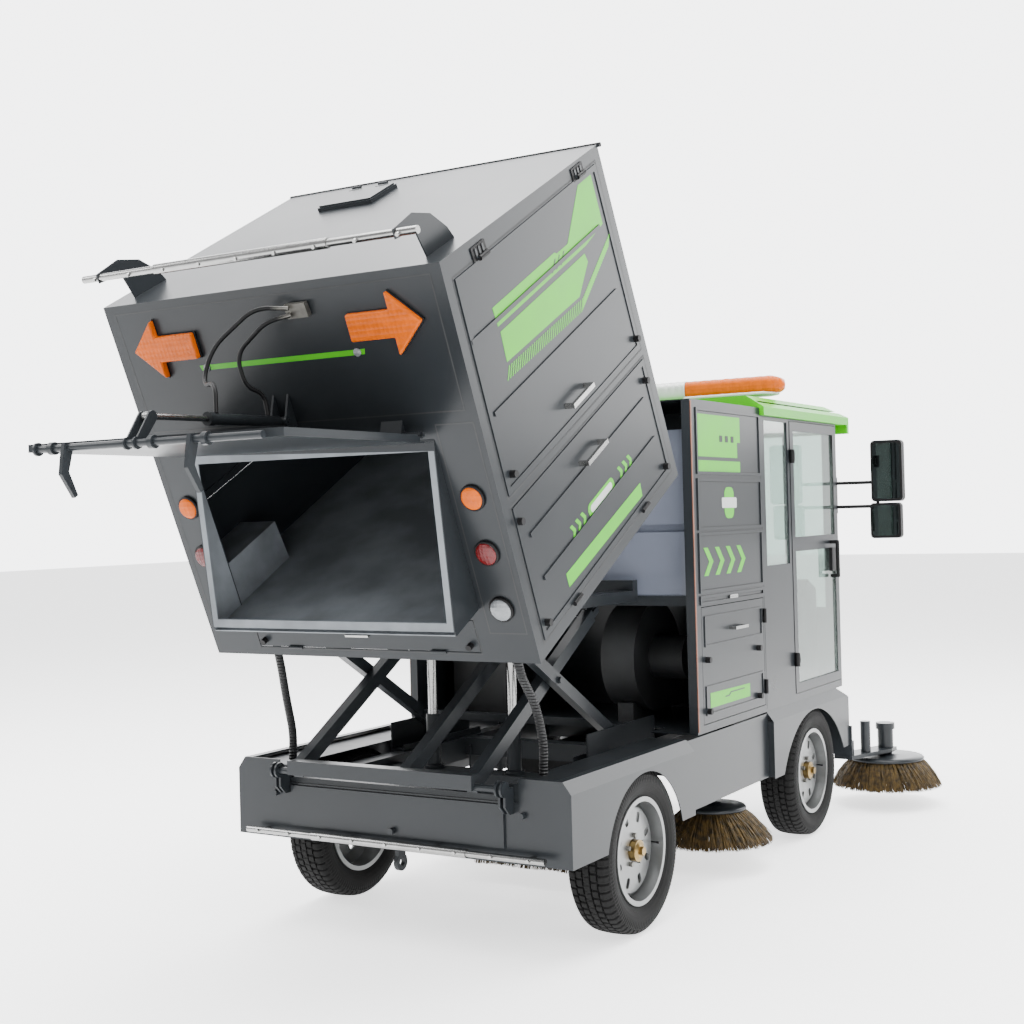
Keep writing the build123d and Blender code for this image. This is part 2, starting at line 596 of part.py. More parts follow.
ROOF_LOW = HOPPER_TOP_FRONT[1]
UPPER_DOOR_V = (532, 1225)
LOWER_DOOR_V = (42, 506)
DOOR_INSET = 45
SIDE_IN = HOPPER_HALF_W - SHEET


def hopper_shell():
    whole = [(0, 0), (HOPPER_FLOOR, 0), HOPPER_TOP_FRONT, HOPPER_TOP_REAR]
    body = along_x(whole, -HOPPER_HALF_W, HOPPER_HALF_W)
    room = hopper_side(FLOOR_V, ROOF_LOW - SHEET, SHEET)
    room[3] = (rear_u(HOPPER_TOP_REAR[1] - SHEET) + SHEET, HOPPER_TOP_REAR[1] - SHEET)
    body -= along_x(room, -SIDE_IN, SIDE_IN)
    body -= along_x(hopper_side(SHEET, FLOOR_V - SHEET, SHEET), -SIDE_IN, SIDE_IN)
    body -= along_x(hopper_side(-1, SHEET + 1, 30), -SIDE_IN + 26, SIDE_IN - 26)
    for side in (-1, 1):
        x0, x1 = sorted((side * 506, side * SIDE_IN))
        pocket = along_x([(SHEET + rear_u(FLOOR_V), FLOOR_V - 5), (345, FLOOR_V - 5), (345, 345),
                          (SHEET + rear_u(345), 345)], x0, x1)
        x2, x3 = sorted((side * 510, side * SIDE_IN))
        hollow = along_x([(SHEET + rear_u(FLOOR_V) - 2, FLOOR_V - 6), (341, FLOOR_V - 6), (341, 341),
                          (SHEET + rear_u(341), 341)], x2, x3)
        body = body + pocket - hollow
        for v0, v1 in (UPPER_DOOR_V, LOWER_DOOR_V):
            x4, x5 = sorted((side * (SIDE_IN - 1), side * (HOPPER_HALF_W + 1)))
            body -= along_x(hopper_side(v0, v1, DOOR_INSET), x4, x5)
    body -= block(-475, 475, HOPPER_FLOOR - 40, HOPPER_FLOOR + 30, -1, FLOOR_V - 10)
    opening = [(-20, FLOOR_V), (60, FLOOR_V), (130, MOUTH_TOP[1] - 12), (20, MOUTH_TOP[1] - 12)]
    body -= along_x(opening, -MOUTH_HALF_W + SHEET, MOUTH_HALF_W - SHEET)
    flap = [(-5, FLAP_V[0]), (SHEET + rear_u(FLAP_V[1]) + 2, FLAP_V[0]), (SHEET + rear_u(FLAP_V[1]) + 2, FLAP_V[1]),
            (-5, FLAP_V[1])]
    body -= along_x(flap, -FLAP_HALF, FLAP_HALF)
    for side in (-1, 1):
        x0, x1 = sorted((side * 512, side * (SIDE_IN + 1)))
        body += rod_x(x0, x1, TILT_U, TILT_V, TILT_PIN_R)
    return body


FLAP_V = (32, 150)
FLAP_HALF = 462


def lean_plane(low, high, offset):
    """A plane through two (u, v) points, moved along u by the offset."""
    return ((0, low[0] + offset, low[1]), (0, high[1] - low[1], low[0] - high[0]))


def hopper_panels():
    """The hopper's sheets: its side walls, its floors, its roof and its rear and front walls."""
    (u0, v0), (u1, v1) = HOPPER_TOP_REAR, HOPPER_TOP_FRONT
    sides, room = sorted_by(panels([hopper_shell()], *at_x(-SIDE_IN, SIDE_IN)), lambda c: abs(c.X) > SIDE_IN)
    sides = panels(sides, *at_z(*UPPER_DOOR_V, *LOWER_DOOR_V))
    rear, room = sorted_by(panels(room, lean_plane((0, 0), HOPPER_TOP_REAR, SHEET)),
                           lambda c: c.Y < rear_u(c.Z) + SHEET)
    front, room = sorted_by(panels(room, lean_plane((HOPPER_FLOOR, 0), HOPPER_TOP_FRONT, -SHEET)),
                            lambda c: c.Y > front_u(c.Z) - SHEET)
    rear = panels(rear, *at_z(*FLAP_V, FLOOR_V, MOUTH_TOP[1] - 12))
    front = panels(front, *at_z(FLOOR_V - 10))
    roof, room = sorted_by(room, lambda c: c.Z > ROOF_LOW / 2)
    pockets, floors = sorted_by(panels(room, *at_z(SHEET, FLOOR_V - SHEET, FLOOR_V)), lambda c: c.Z > FLOOR_V)
    pockets = panels(pockets, *at_z(341), *at_y(341), *at_x(-510, 510))
    rim, floors = sorted_by(floors, lambda c: c.Z < SHEET)
    rim = panels(rim, *at_x(26 - SIDE_IN, SIDE_IN - 26))
    floors = panels(floors, *at_x(-510, 510), *at_y(341))
    return sides + rear + front + roof + pockets + rim + floors


def on_rear(s, out):
    """A (u, v) point at a height s up the rear face and a distance out of it."""
    lean = atan2(HOPPER_TOP_REAR[0], HOPPER_TOP_REAR[1])
    return (s * sin(lean) - out * cos(lean), s * cos(lean) + out * sin(lean))


REAR_LEAN = degrees(atan2(HOPPER_TOP_REAR[0], HOPPER_TOP_REAR[1]))


def chute_mouth():
    """The discharge mouth: a wedge of sheet with a flanged, leaning frame."""
    (tu, tv), (lu, lv) = MOUTH_TOP, MOUTH_LIP
    side = [(rear_u(tv + 8) - SEAT_GAP, tv + 8), (lu - 2, lv - 5), (lu - 2, lv - 15),
            (rear_u(lv - 15) - SEAT_GAP, lv - 15)]
    body = along_x(side, -MOUTH_HALF_W, MOUTH_HALF_W)
    inner = [(rear_u(tv - 16) + 2, tv - 16), (tu - 20, tv - 16), (lu - 40, lv - 11), (rear_u(lv - 11) + 2, lv - 11)]
    body -= along_x(inner, -MOUTH_HALF_W + SHEET, MOUTH_HALF_W - SHEET)
    face = beam((tu, tv), (lu, lv), 0, (2 * MOUTH_HALF_W, 5))
    face -= beam((tu, tv), (lu, lv), 0, (2 * (MOUTH_HALF_W - MOUTH_FLANGE), 9)) & block(
        -MOUTH_HALF_W, MOUTH_HALF_W, -400, 400, lv + MOUTH_FLANGE, tv - MOUTH_FLANGE)
    keep = along_x([(rear_u(tv + 8) - SEAT_GAP, tv + 8), (lu - 30, tv + 8), (lu - 30, lv - 15),
                    (rear_u(lv - 15) - SEAT_GAP, lv - 15)], -MOUTH_HALF_W, MOUTH_HALF_W)
    return body + (face & keep)


def hopper_hinges():
    """Rear door hinge lugs on the hopper, between the door's own knuckles."""
    lugs = []
    for x0 in (-400, -40, 320):
        base = on_rear(785, 0)
        top = on_rear(834, 0)
        lug = along_x([(base[0] - SEAT_GAP, base[1]), (top[0] - SEAT_GAP, top[1]), (DOOR_PIN[0], DOOR_PIN[1] + 10),
                       (DOOR_PIN[0], DOOR_PIN[1] - 10)], x0, x0 + 80)
        lugs.append(lug + rod_x(x0, x0 + 80, *DOOR_PIN, 10))
    return [lug - rod_x(-600, 600, *DOOR_PIN, 6 + RUN_GAP) for lug in lugs]


def cylinder_bracket():
    """A triangular bracket pair for the door cylinder, with an arched cut-out."""
    plates = []
    foot, head = on_rear(838, 0), on_rear(948, 0)
    for x0 in (CRANK_X - 34, CRANK_X + 26):
        plate = along_x([(foot[0] - SEAT_GAP, foot[1]), (head[0] - SEAT_GAP, head[1]),
                         (CYL_PIN[0] - 4, CYL_PIN[1] + 16), (CYL_PIN[0] - 14, CYL_PIN[1] - 12)], x0, x0 + 8)
        plate += rod_x(x0, x0 + 8, *CYL_PIN, 16)
        plates.append(plate)
    return [p - rod_x(-200, 200, *CYL_PIN, 8 + RUN_GAP) for p in plates]


def roof_point(along, up):
    """A (u, v) point on the roof, along it from its rear edge and above it."""
    (u0, v0), (u1, v1) = HOPPER_TOP_REAR, HOPPER_TOP_FRONT
    run = hypot(u1 - u0, v1 - v0)
    c, s = (u1 - u0) / run, (v1 - v0) / run
    return (u0 + along * c - up * s, v0 + along * s + up * c)


def fin(x0):
    """A curved bracket that carries the upper spray bar."""
    pts = [roof_point(70, SEAT_GAP), roof_point(235, SEAT_GAP), roof_point(215, 40), roof_point(150, 105),
           roof_point(60, 138), roof_point(-52, 128), roof_point(-52, 98), roof_point(50, 92)]
    return along_x(pts, x0, x0 + 5)


HIGH_BAR = roof_point(-38, 113)


def upper_spray_bar():
    return spray_bar(664, HIGH_BAR[0], HIGH_BAR[1], 12)


def front_seal():
    u, v = HOPPER_TOP_FRONT
    return rod_x(-HOPPER_HALF_W - 8, HOPPER_HALF_W + 8, u + 8 + SEAT_GAP, v - 4, 8)


def lamp(x, s):
    """A round lamp: a bezel and a domed lens on the rear face."""
    c = on_rear(s, SEAT_GAP)
    bezel = Pos(x, c[0], c[1]) * Rot(90 - REAR_LEAN, 0, 0) * (Pos(0, 0, 5) * Cylinder(42, 10))
    lens = Pos(x, c[0], c[1]) * Rot(90 - REAR_LEAN, 0, 0) * (Pos(0, 0, 14.3) * Cylinder(36, 8))
    return [bezel, lens]


def arrow(sign):
    """An arrow lamp on the upper rear face, pointing outwards."""
    tail = 265
    pts = [(0, 0), (105, 95), (105, 42), (tail, 42), (tail, -42), (105, -42), (105, -95)]
    shape = extrude(flat([(-sign * (p[0] - 132), p[1]) for p in pts]), amount=26)
    c = on_rear(1141, SEAT_GAP)
    return Pos(sign * 444, c[0], c[1]) * Rot(90 - REAR_LEAN, 0, 0) * shape


def on_roof(near, far, low, high, x0, x1):
    """A block on the roof between two distances along it and two heights above it."""
    outline = [roof_point(near, low), roof_point(far, low), roof_point(far, high), roof_point(near, high)]
    return along_x(outline, x0, x1)


HATCH_PIN = roof_point(1006, 22)


def hatch_flap():
    """The hatch cover with two hinge knuckles at its front edge."""
    cover = on_roof(826, 994, 14 + SEAT_GAP, 20, -324, -96)
    for x in (-290, -170):
        cover += on_roof(980, 1006, 17, 21, x, x + 40) + rod_x(x, x + 40, *HATCH_PIN, 5)
    return cover


def placed(shapes):
    return [HOPPER_PLACE * s for s in shapes]


mouth_panels = panels([chute_mouth()], *at_x(SHEET - MOUTH_HALF_W, MOUTH_HALF_W - SHEET),
                      *at_z(MOUTH_LIP[1] - 11, MOUTH_LIP[1] + MOUTH_FLANGE, MOUTH_TOP[1] - MOUTH_FLANGE))
parts["hopper_shell"] = placed(hopper_panels() + mouth_panels + [front_seal(), on_roof(820, 1000, SEAT_GAP, 14, -330, -90)]
                               + hopper_hinges() + cylinder_bracket())
lamps = []
for x in (-583, 583):
    for s in (572, 386, 192):
        lamps += lamp(x, s)
parts["hopper_lamps"] = placed(lamps + [arrow(-1), arrow(1)])
parts["roof_hatch"] = placed([hatch_flap()])
parts["upper_spray_bar"] = placed([upper_spray_bar()] + [
    fin(x0) - rod_x(x0 - 1, x0 + 6, *HIGH_BAR, 12 + SEAT_GAP) for x0 in (-592, 587)])


FLAP_PIN = (rear_u(FLAP_V[0] + DOOR_GAP) - 4.6, FLAP_V[0] + DOOR_GAP)


def flap():
    """The lower rear flap, hinged along its bottom edge."""
    g = DOOR_GAP
    v0, v1 = FLAP_V[0] + g, FLAP_V[1] - g
    panel = along_x([(rear_u(v0), v0), (rear_u(v0) + 3, v0), (rear_u(v1) + 3, v1), (rear_u(v1), v1)],
                    -FLAP_HALF + g, FLAP_HALF - g)
    for x in (-300, 300):
        panel += rod_x(x - 30, x + 30, *FLAP_PIN, 5)
    return panel


flap_handle = (block(-48, -42, -28, 0, 96, 104) + block(42, 48, -28, 0, 96, 104) + block(-48, 48, -28, -20, 96, 104))
flap_handle = Pos(0, rear_u(100) - 1, 0) * flap_handle
parts["rear_flap"] = placed([flap(), flap_handle] + [
    rod_y(rear_u(60) - 20, rear_u(60) - SEAT_GAP - 1, x, 60, 11) for x in (-430, 430)])


def side_door(v0, v1, handle_v, knobs):
    """A folded side door with a bar handle and turn knobs, on the right side, in the hopper's plane."""
    g = DOOR_GAP
    outline = hopper_side(v0 + g, v1 - g, DOOR_INSET + g)
    body = along_x(outline, HOPPER_HALF_W - 3, HOPPER_HALF_W)
    u_mid = (rear_u(handle_v) + front_u(handle_v)) / 2
    for v in (v0 + (v1 - v0) * 0.36, v0 + (v1 - v0) * 0.7):
        crease = [(u_mid - 480, v), (u_mid + 470, v), (u_mid + 470, v + 14), (u_mid - 480, v + 14)]
        body += along_x(crease, HOPPER_HALF_W - 1, HOPPER_HALF_W + 5)
    x0 = HOPPER_HALF_W + SEAT_GAP
    bar = block(x0 + 26, x0 + 38, u_mid - 82, u_mid + 82, handle_v - 8, handle_v + 8)
    for u in (u_mid - 82, u_mid + 70):
        bar += block(x0, x0 + 38, u, u + 12, handle_v - 8, handle_v + 8)
    solids = [body, bar]
    for u, v in knobs:
        solids.append(rod_x(HOPPER_HALF_W + SEAT_GAP, HOPPER_HALF_W + 20, u, v, 12))
    return solids


UPPER_KNOBS = ((165, 590), (1165, 585))
LOWER_KNOBS = ((122, 447), (96, 92), (1150, 427), (1130, 85))
upper = side_door(*UPPER_DOOR_V, 612, UPPER_KNOBS)
UPPER_PIN_V = UPPER_DOOR_V[1] - DOOR_GAP
for u in (370, 1085):
    upper.append(rod_y(u - 28, u + 28, HOPPER_HALF_W + 8 + SEAT_GAP, UPPER_PIN_V, 8))
lower = side_door(*LOWER_DOOR_V, 408, LOWER_KNOBS)
LOWER_PIN_V = LOWER_DOOR_V[0] + DOOR_GAP
for u in (300, 900):
    lower.append(rod_y(u - 28, u + 28, HOPPER_HALF_W + 8 + SEAT_GAP, LOWER_PIN_V, 8))
for name, shapes in (("upper_door", upper), ("lower_door", lower)):
    parts[f"{name}_right"] = placed(shapes)
    parts[f"{name}_left"] = placed([mirror(s, about=Plane.YZ) for s in shapes])


# ---- rear door, hook shaft and cylinder, built where they stand -----------------------------------------
HINGE = in_world(*DOOR_PIN)
DOOR_LOW = HINGE[1] - 24.5
DOOR_END_Y = HINGE[0] - DOOR_LEN
SHAFT = (DOOR_END_Y - 22, DOOR_LOW + 6)


def rear_door():
    plate_y = HINGE[0] - 14
    body = block(-DOOR_HALF_W, DOOR_HALF_W, DOOR_END_Y, plate_y, DOOR_LOW, DOOR_LOW + SHEET)
    for x0, x1 in ((-DOOR_HALF_W, -DOOR_HALF_W + 30), (DOOR_HALF_W - 30, DOOR_HALF_W)):
        body += block(x0, x1, DOOR_END_Y, plate_y - 34, DOOR_LOW, DOOR_LOW + 24)
    for y0, y1 in ((DOOR_END_Y, DOOR_END_Y + 30), (DOOR_END_Y + 300, DOOR_END_Y + 330), (plate_y - 64, plate_y - 34)):
        body += block(-DOOR_HALF_W, DOOR_HALF_W, y0, y1, DOOR_LOW, DOOR_LOW + 24)
    for x0 in (-318, 42, 402):
        knuckle_body = rod_x(x0, x0 + 70, *HINGE, 10)
        knuckle_body += block(x0, x0 + 70, plate_y - 10, HINGE[0] - 8, DOOR_LOW, DOOR_LOW + 22)
        body += knuckle_body
    body += rod_x(-410, 480, *HINGE, 6)
    for x in (-360, 40, 240):
        strap = block(x - 9, x + 9, SHAFT[0], DOOR_END_Y, SHAFT[1] - 6, SHAFT[1] + 6)
        body += strap + rod_x(x - 9, x + 9, *SHAFT, HOOK_SHAFT_R + 8)
    for x in (-360, 40, 240):
        body -= rod_x(x - 10, x + 10, *SHAFT, HOOK_SHAFT_R + RUN_GAP)
    return body - block(CRANK_X - 32, CRANK_X + 32, DOOR_END_Y - 1, DOOR_END_Y + 44, DOOR_LOW - 1, DOOR_LOW + 30)


CRANK_PIN = (SHAFT[0] + 62, SHAFT[1] + 78)


def hook(x):
    """A boomerang hook hanging from the shaft."""
    y, z = SHAFT
    pts = [(y - 16, z + 14), (y + 6, z + 16), (y + 14, z - 8), (y - 2, z - 70), (y + 30, z - 138), (y + 18, z - 146),
           (y - 30, z - 78), (y - 24, z - 30)]
    return along_x(pts, x - 7, x + 7)


def hook_shaft():
    y, z = SHAFT
    body = rod_x(-420, 440, y, z, HOOK_SHAFT_R) + rod_x(-428, -420, y, z, 20)
    for x in (-300, 190):
        body += hook(x)
    for x0 in (CRANK_X + 34 - 50 - 6, CRANK_X + 34 - 18):
        plate = along_x([(y - 16, z - 6), (y + 14, z - 14), (CRANK_PIN[0] + 15, CRANK_PIN[1] - 8),
                         (CRANK_PIN[0] - 13, CRANK_PIN[1] + 13)], x0, x0 + 6)
        plate += rod_x(x0, x0 + 6, y, z, 18) + rod_x(x0, x0 + 6, *CRANK_PIN, 16)
        body += plate
    return body


parts["rear_door"] = [rear_door()]
parts["hook_shaft"] = [hook_shaft()]

BARREL_PIN = in_world(*CYL_PIN)


def door_cylinder():
    tilt = degrees(atan2(CRANK_PIN[1] - BARREL_PIN[1], CRANK_PIN[0] - BARREL_PIN[0]))
    place = Pos(CRANK_X, *BARREL_PIN) * Rot(tilt, 0, 0)
    body = place * rod_y(8, CYL_BARREL, 0, 0, CYL_R)
    body += place * rod_y(CYL_BARREL - 22, CYL_BARREL, 0, 0, CYL_R + 4)
    body += rod_x(CRANK_X - 24, CRANK_X + 24, *BARREL_PIN, 15)
    body -= place * rod_y(40, CYL_BARREL + 1, 0, 0, ROD_R + RUN_GAP)
    body += rod_x(CRANK_X - 40, CRANK_X + 40, *BARREL_PIN, 8)
    return body


def door_rod():
    length = hypot(CRANK_PIN[0] - BARREL_PIN[0], CRANK_PIN[1] - BARREL_PIN[1])
    tilt = degrees(atan2(CRANK_PIN[1] - BARREL_PIN[1], CRANK_PIN[0] - BARREL_PIN[0]))
    place = Pos(CRANK_X, *BARREL_PIN) * Rot(tilt, 0, 0)
    body = place * rod_y(60, length - 8, 0, 0, ROD_R)
    return body + rod_x(CRANK_X - 10, CRANK_X + 10, *CRANK_PIN, 14)


parts["door_cylinder"] = [door_cylinder()]
parts["door_rod"] = [door_rod()]


# ---- hoses --------------------------------------------------------------------------------------------
def hose(points, radii, r):
    """A hose of straight runs joined by tangent arcs."""
    path = FilletPolyline(*points, radius=radii)
    start = Plane(origin=path @ 0, z_dir=path % 0)
    return sweep(start * Circle(r), path=path)


def bend_radii(points):
    """The largest arc at each corner that its shorter run allows."""
    radii = []
    for a, b, c in zip(points, points[1:], points[2:]):
        before, after = Vector(*b) - Vector(*a), Vector(*c) - Vector(*b)
        turn = radians(before.get_angle(after))
        radii.append(0.45 * min(before.length, after.length) / max(1e-6, abs(sin(turn / 2) / cos(turn / 2))))
    return radii


BULKHEAD = on_rear(1205, 0)
PORT_BASE = between(BARREL_PIN, CRANK_PIN, 60)
PORT_ROD = between(BARREL_PIN, CRANK_PIN, CYL_BARREL - 40)


def world(x, s, out):
    y, z = in_world(*on_rear(s, out))
    return (x, y, z)


port_base = (CRANK_X, PORT_BASE[0], PORT_BASE[1] + CYL_R + 1.4)
port_rod = (CRANK_X, PORT_ROD[0], PORT_ROD[1] + CYL_R + 1.4)
HOSE_R = 7
hose_a = [world(120, 1205, 29.2), world(40, 1200, 62), world(-70, 1120, 110), world(-60, 1020, 120),
          (CRANK_X - 6, PORT_BASE[0] - 8, PORT_BASE[1] + 84), port_base]
hose_b = [world(120, 1227, 32.8), world(20, 1250, 70), world(-120, 1160, 150), world(-150, 1060, 210),
          (CRANK_X - 8, PORT_ROD[0] + 8, PORT_ROD[1] + 110), port_rod]
parts["hydraulic_hoses"] = [hose(p, bend_radii(p), HOSE_R) for p in (hose_a, hose_b)]
parts["hydraulic_hoses"] += placed([block(96, 176, BULKHEAD[0] - 22, BULKHEAD[0] - SEAT_GAP - 3,
                                          BULKHEAD[1] - 12, BULKHEAD[1] + 34)])


LIFT_HOSE_R = 15
LIFT_HOSE_Z = (605, RAIL_LOW - 0.6)
lift_hoses = []
for x, y in ((-520, -440), (500, -360)):
    foot, head = LIFT_HOSE_Z
    pts = [(x, y, foot), (x + 8, y - 4, foot + 100), (x - 8, y - 20, foot + 230), (x + 6, -500, foot + 350),
           (x, -520, foot + 440), (x, -520, head)]
    lift_hoses.append(hose(pts, bend_radii(pts), LIFT_HOSE_R))
parts["lift_hoses"] = lift_hoses


# ---- module behind the cab ----------------------------------------------------------------------------
ACCESS_Y = (586, 1228)
ACCESS_Z = (650, 1107)


def module_shell():
    w = BODY_HALF_W
    body = block(-w, w, MODULE_REAR_Y, MODULE_FRONT_Y, DECK_Z, MODULE_TOP)
    body -= block(-w + SHEET, w - SHEET, MODULE_REAR_Y - 1, MODULE_FRONT_Y - SHEET, DECK_Z + SHEET, MODULE_TOP - SHEET)
    body += block(-w + 1, w - 1, 600, MODULE_FRONT_Y - 1, SHELF_Z, SHELF_Z + SHEET)
    body += block(-w + 1, w - 1, 600, 630, SHELF_Z - 36, SHELF_Z + SHEET)
    for x0, x1 in ((-w + 1, -w + 36), (w - 36, w - 1)):
        body += block(x0, x1, MODULE_REAR_Y, MODULE_REAR_Y + 34, DECK_Z, MODULE_TOP - 1)
    body -= block(w - 30, w + 1, *ACCESS_Y, *ACCESS_Z)
    track_slot = block(-w + 200, w - 200, MODULE_REAR_Y - 1, 655, DECK_Z - 1, 680)
    return body - track_slot


def access_door():
    g = DOOR_GAP
    w = BODY_HALF_W
    body = block(w - 3, w, ACCESS_Y[0] + g, ACCESS_Y[1] - g, ACCESS_Z[0] + g, ACCESS_Z[1] - g)
    pull = block(w + SEAT_GAP, w + 30, 860, 870, 1000, 1012) + block(w + SEAT_GAP, w + 30, 980, 990, 1000, 1012)
    pull += block(w + 20, w + 30, 860, 990, 1000, 1012)
    knobs = [rod_x(w + SEAT_GAP, w + 20, y, z, 12) for y in (625, 1150) for z in (700, 900)]
    hinge = rod_z(700, 760, w + 8, ACCESS_Y[1] - g, 7.7) + rod_z(1000, 1060, w + 8, ACCESS_Y[1] - g, 7.7)
    return [body + hinge, pull] + knobs


parts["module_shell"] = [module_shell()]
parts["access_door"] = access_door()


def water_tank():
    body = block(-640, 640, 606, 1215, SHELF_Z + SHEET, 1800)
    body = fillet(body.edges().filter_by(Axis.Z), 60)
    body -= block(-700, 700, 590, 620, 1400, 1430)
    return [body, rod_z(1800, 1830, 300, 900, 70)]


def hydraulic_unit():
    tank = block(-600, -330, 760, 1120, DECK_Z + SHEET, 880)
    motor = rod_y(790, 1060, -465, 950, 68) + block(-500, -430, 800, 1050, 875, 900)
    return [tank + motor] + [lift_barrel(x) for x in (-LIFT_X, LIFT_X)]


def suction_fan():
    case = rod_x(180, 330, 900, 880, 225) + block(180, 330, 900, 1150, 655, 880)
    return [case + rod_x(330, 480, 900, 880, 90) + block(220, 290, 740, 1100, DECK_Z + SHEET, 700)]


parts["water_tank"] = water_tank()
parts["hydraulic_unit"] = hydraulic_unit()
parts["suction_fan"] = suction_fan()
parts["battery_pack"] = [block(-265, 265, 650, 1200, 396, RAIL_Z[0] - SEAT_GAP)]


# ---- cab ----------------------------------------------------------------------------------------------
CAB_DOOR_Y = (1590, 2209)
CAB_DOOR_Z = (653, 1871)
SIDE_WINDOW_Y = (1290, 1562)
SIDE_WINDOW_Z = (1237, 1862)
WINDSCREEN_Z = (1000, 1850)
GLASS = 5


def cab_shell():
    w, t = BODY_HALF_W, CAB_WALL
    body = block(-w, w, MODULE_FRONT_Y, CAB_FRONT_Y, DECK_Z, CAB_TOP)
    body -= block(-w + t, w - t, MODULE_FRONT_Y + t, CAB_FRONT_Y - t, DECK_Z + SHEET, CAB_TOP - SHEET)
    body -= block(-w - 1, w + 1, *CAB_DOOR_Y, *CAB_DOOR_Z)
    body -= block(-w - 1, w + 1, *SIDE_WINDOW_Y, *SIDE_WINDOW_Z)
    body -= block(-600, 600, CAB_FRONT_Y - 40, CAB_FRONT_Y + 1, *WINDSCREEN_Z)
    return body


def cab_windows():
    g, w = SEAT_GAP, BODY_HALF_W
    panes = [block(-600 + g, 600 - g, CAB_FRONT_Y - 12, CAB_FRONT_Y - 12 + GLASS, WINDSCREEN_Z[0] + g,
                   WINDSCREEN_Z[1] - g)]
    panes += both(block(w - 12, w - 12 + GLASS, SIDE_WINDOW_Y[0] + g, SIDE_WINDOW_Y[1] - g,
                        SIDE_WINDOW_Z[0] + g, SIDE_WINDOW_Z[1] - g))
    return panes


DOOR_AXIS_X = BODY_HALF_W + 12


def cab_door():
    g, w = DOOR_GAP, BODY_HALF_W
    y0, y1, z0, z1 = CAB_DOOR_Y[0] + g, CAB_DOOR_Y[1] - g, CAB_DOOR_Z[0] + g, CAB_DOOR_Z[1] - g
    frame = block(w - 26, w + 2, y0, y1, z0, z1)
    windows = ((z0 + 42, 1288), (1352, z1 - 42))
    for low, high in windows:
        frame -= block(w - 30, w + 5, y0 + 42, y1 - 42, low, high)
    for z in (1712, 808):
        frame += rod_z(z - 30, z + 30, DOOR_AXIS_X, CAB_DOOR_Y[0], 12 - SEAT_GAP)
        frame += block(w - 5, DOOR_AXIS_X, CAB_DOOR_Y[0] + g, CAB_DOOR_Y[0] + 40, z - 18, z + 18)
    s = SEAT_GAP
    panes = [block(w - 12, w - 12 + GLASS, y0 + 42 + s, y1 - 42 - s, low + s, high - s) for low, high in windows]
    x = w + 2 + s
    grip = rod_z(1150, 1325, x + 34, 2098, 9) + block(x, x + 34, 2086, 2110, 1150, 1166)
    grip += block(x, x + 34, 2086, 2110, 1309, 1325) + block(x, x + 16, 2070, 2124, 1180, 1290)
    return [frame] + panes + [grip]


def roof_cap():
    outline = [(-692, CAB_TOP), (692, CAB_TOP), (692, 1916), (612, 1968), (-612, 1968), (-692, 1916)]
    body = along_y(outline, MODULE_FRONT_Y + 1, 2356)
    body -= along_x([(2226, 1970), (2360, 1918), (2360, 1970)], -700, 700)
    body += block(-692, 692, 2330, 2356, 1838, CAB_TOP + 6)
    body -= block(-660, 660, MODULE_FRONT_Y + 20, 2326, CAB_TOP - 1, 1945)
    return body


def light_bar():
    y, z = 1650, 2036
    foot = [block(x - 30, x + 30, y - 30, y + 30, 1968, z - 40) for x in (-300, 300)]
    body = block(-640, 640, y - 62, y + 62, z - 48, z + 50)
    body = fillet(body.edges().filter_by(Axis.X), 30)
    return [body + foot[0] + foot[1]]


def seat():
    base = block(-180, 220, 1380, 1700, DECK_Z + SHEET, 850)
    cushion = block(-210, 250, 1330, 1800, 850 + SEAT_GAP, 960)
    back = along_x([(1330, 960 + 2 * SEAT_GAP), (1450, 960 + 2 * SEAT_GAP), (1380, 1560), (1290, 1560)], -200, 240)
    return [base, fillet(cushion.edges().filter_by(Axis.Z), 50), back]


WHEEL_HUB = (20, 1955, 1210)
COLUMN_TILT = 35


def dash():
    body = along_x([(2040, DECK_Z + SHEET), (2186, DECK_Z + SHEET), (2186, 1090), (2080, 1140), (2030, 1090)],
                   -560, 560)
    x, y, z = WHEEL_HUB
    place = Pos(x, y, z) * Rot(COLUMN_TILT, 0, 0)
    column = place * rod_z(-240, -22, 0, 0, 26)
    return [body + column - place * rod_z(-100, -20, 0, 0, 12 + RUN_GAP)]


def steering_wheel():
    x, y, z = WHEEL_HUB
    place = Pos(x, y, z) * Rot(COLUMN_TILT, 0, 0)
    wheel = Torus(178, 13) + rod_z(-20, 12, 0, 0, 34) + rod_z(-90, 0, 0, 0, 12)
    for k in range(3):
        wheel += Rot(0, 0, 120 * k + 90) * block(20, 172, -14, 14, -7, 7)
    return place * wheel


def pedal(x):
    return (block(x - 32, x + 32, 1950, 1962, 700, 790) + block(x - 8, x + 8, 1955, 2028, 772, 788)
            + rod_x(x - 20, x + 20, 2026, 780, 10))


parts["cab_shell"] = [cab_shell()]
parts["cab_windows"] = cab_windows()
parts["cab_door_right"] = cab_door()
parts["cab_door_left"] = [mirror(s, about=Plane.YZ) for s in cab_door()]
parts["roof_cap"] = [roof_cap()]
parts["light_bar"] = light_bar()
parts["driver_seat"] = seat()
parts["dash_console"] = dash()
parts["steering_wheel"] = [steering_wheel()]
parts["drive_pedal"] = [pedal(190)]


def headlamps():
    lamps = []
    for x in (-420, 420):
        lamps += [rod_y(CAB_FRONT_Y + SEAT_GAP, CAB_FRONT_Y + 40, x, 800, 62)]
    return lamps


parts["headlamps"] = headlamps()

MIRROR_Y = CAB_FRONT_Y + 14 + SEAT_GAP
MIRROR_PIVOT_X = 655


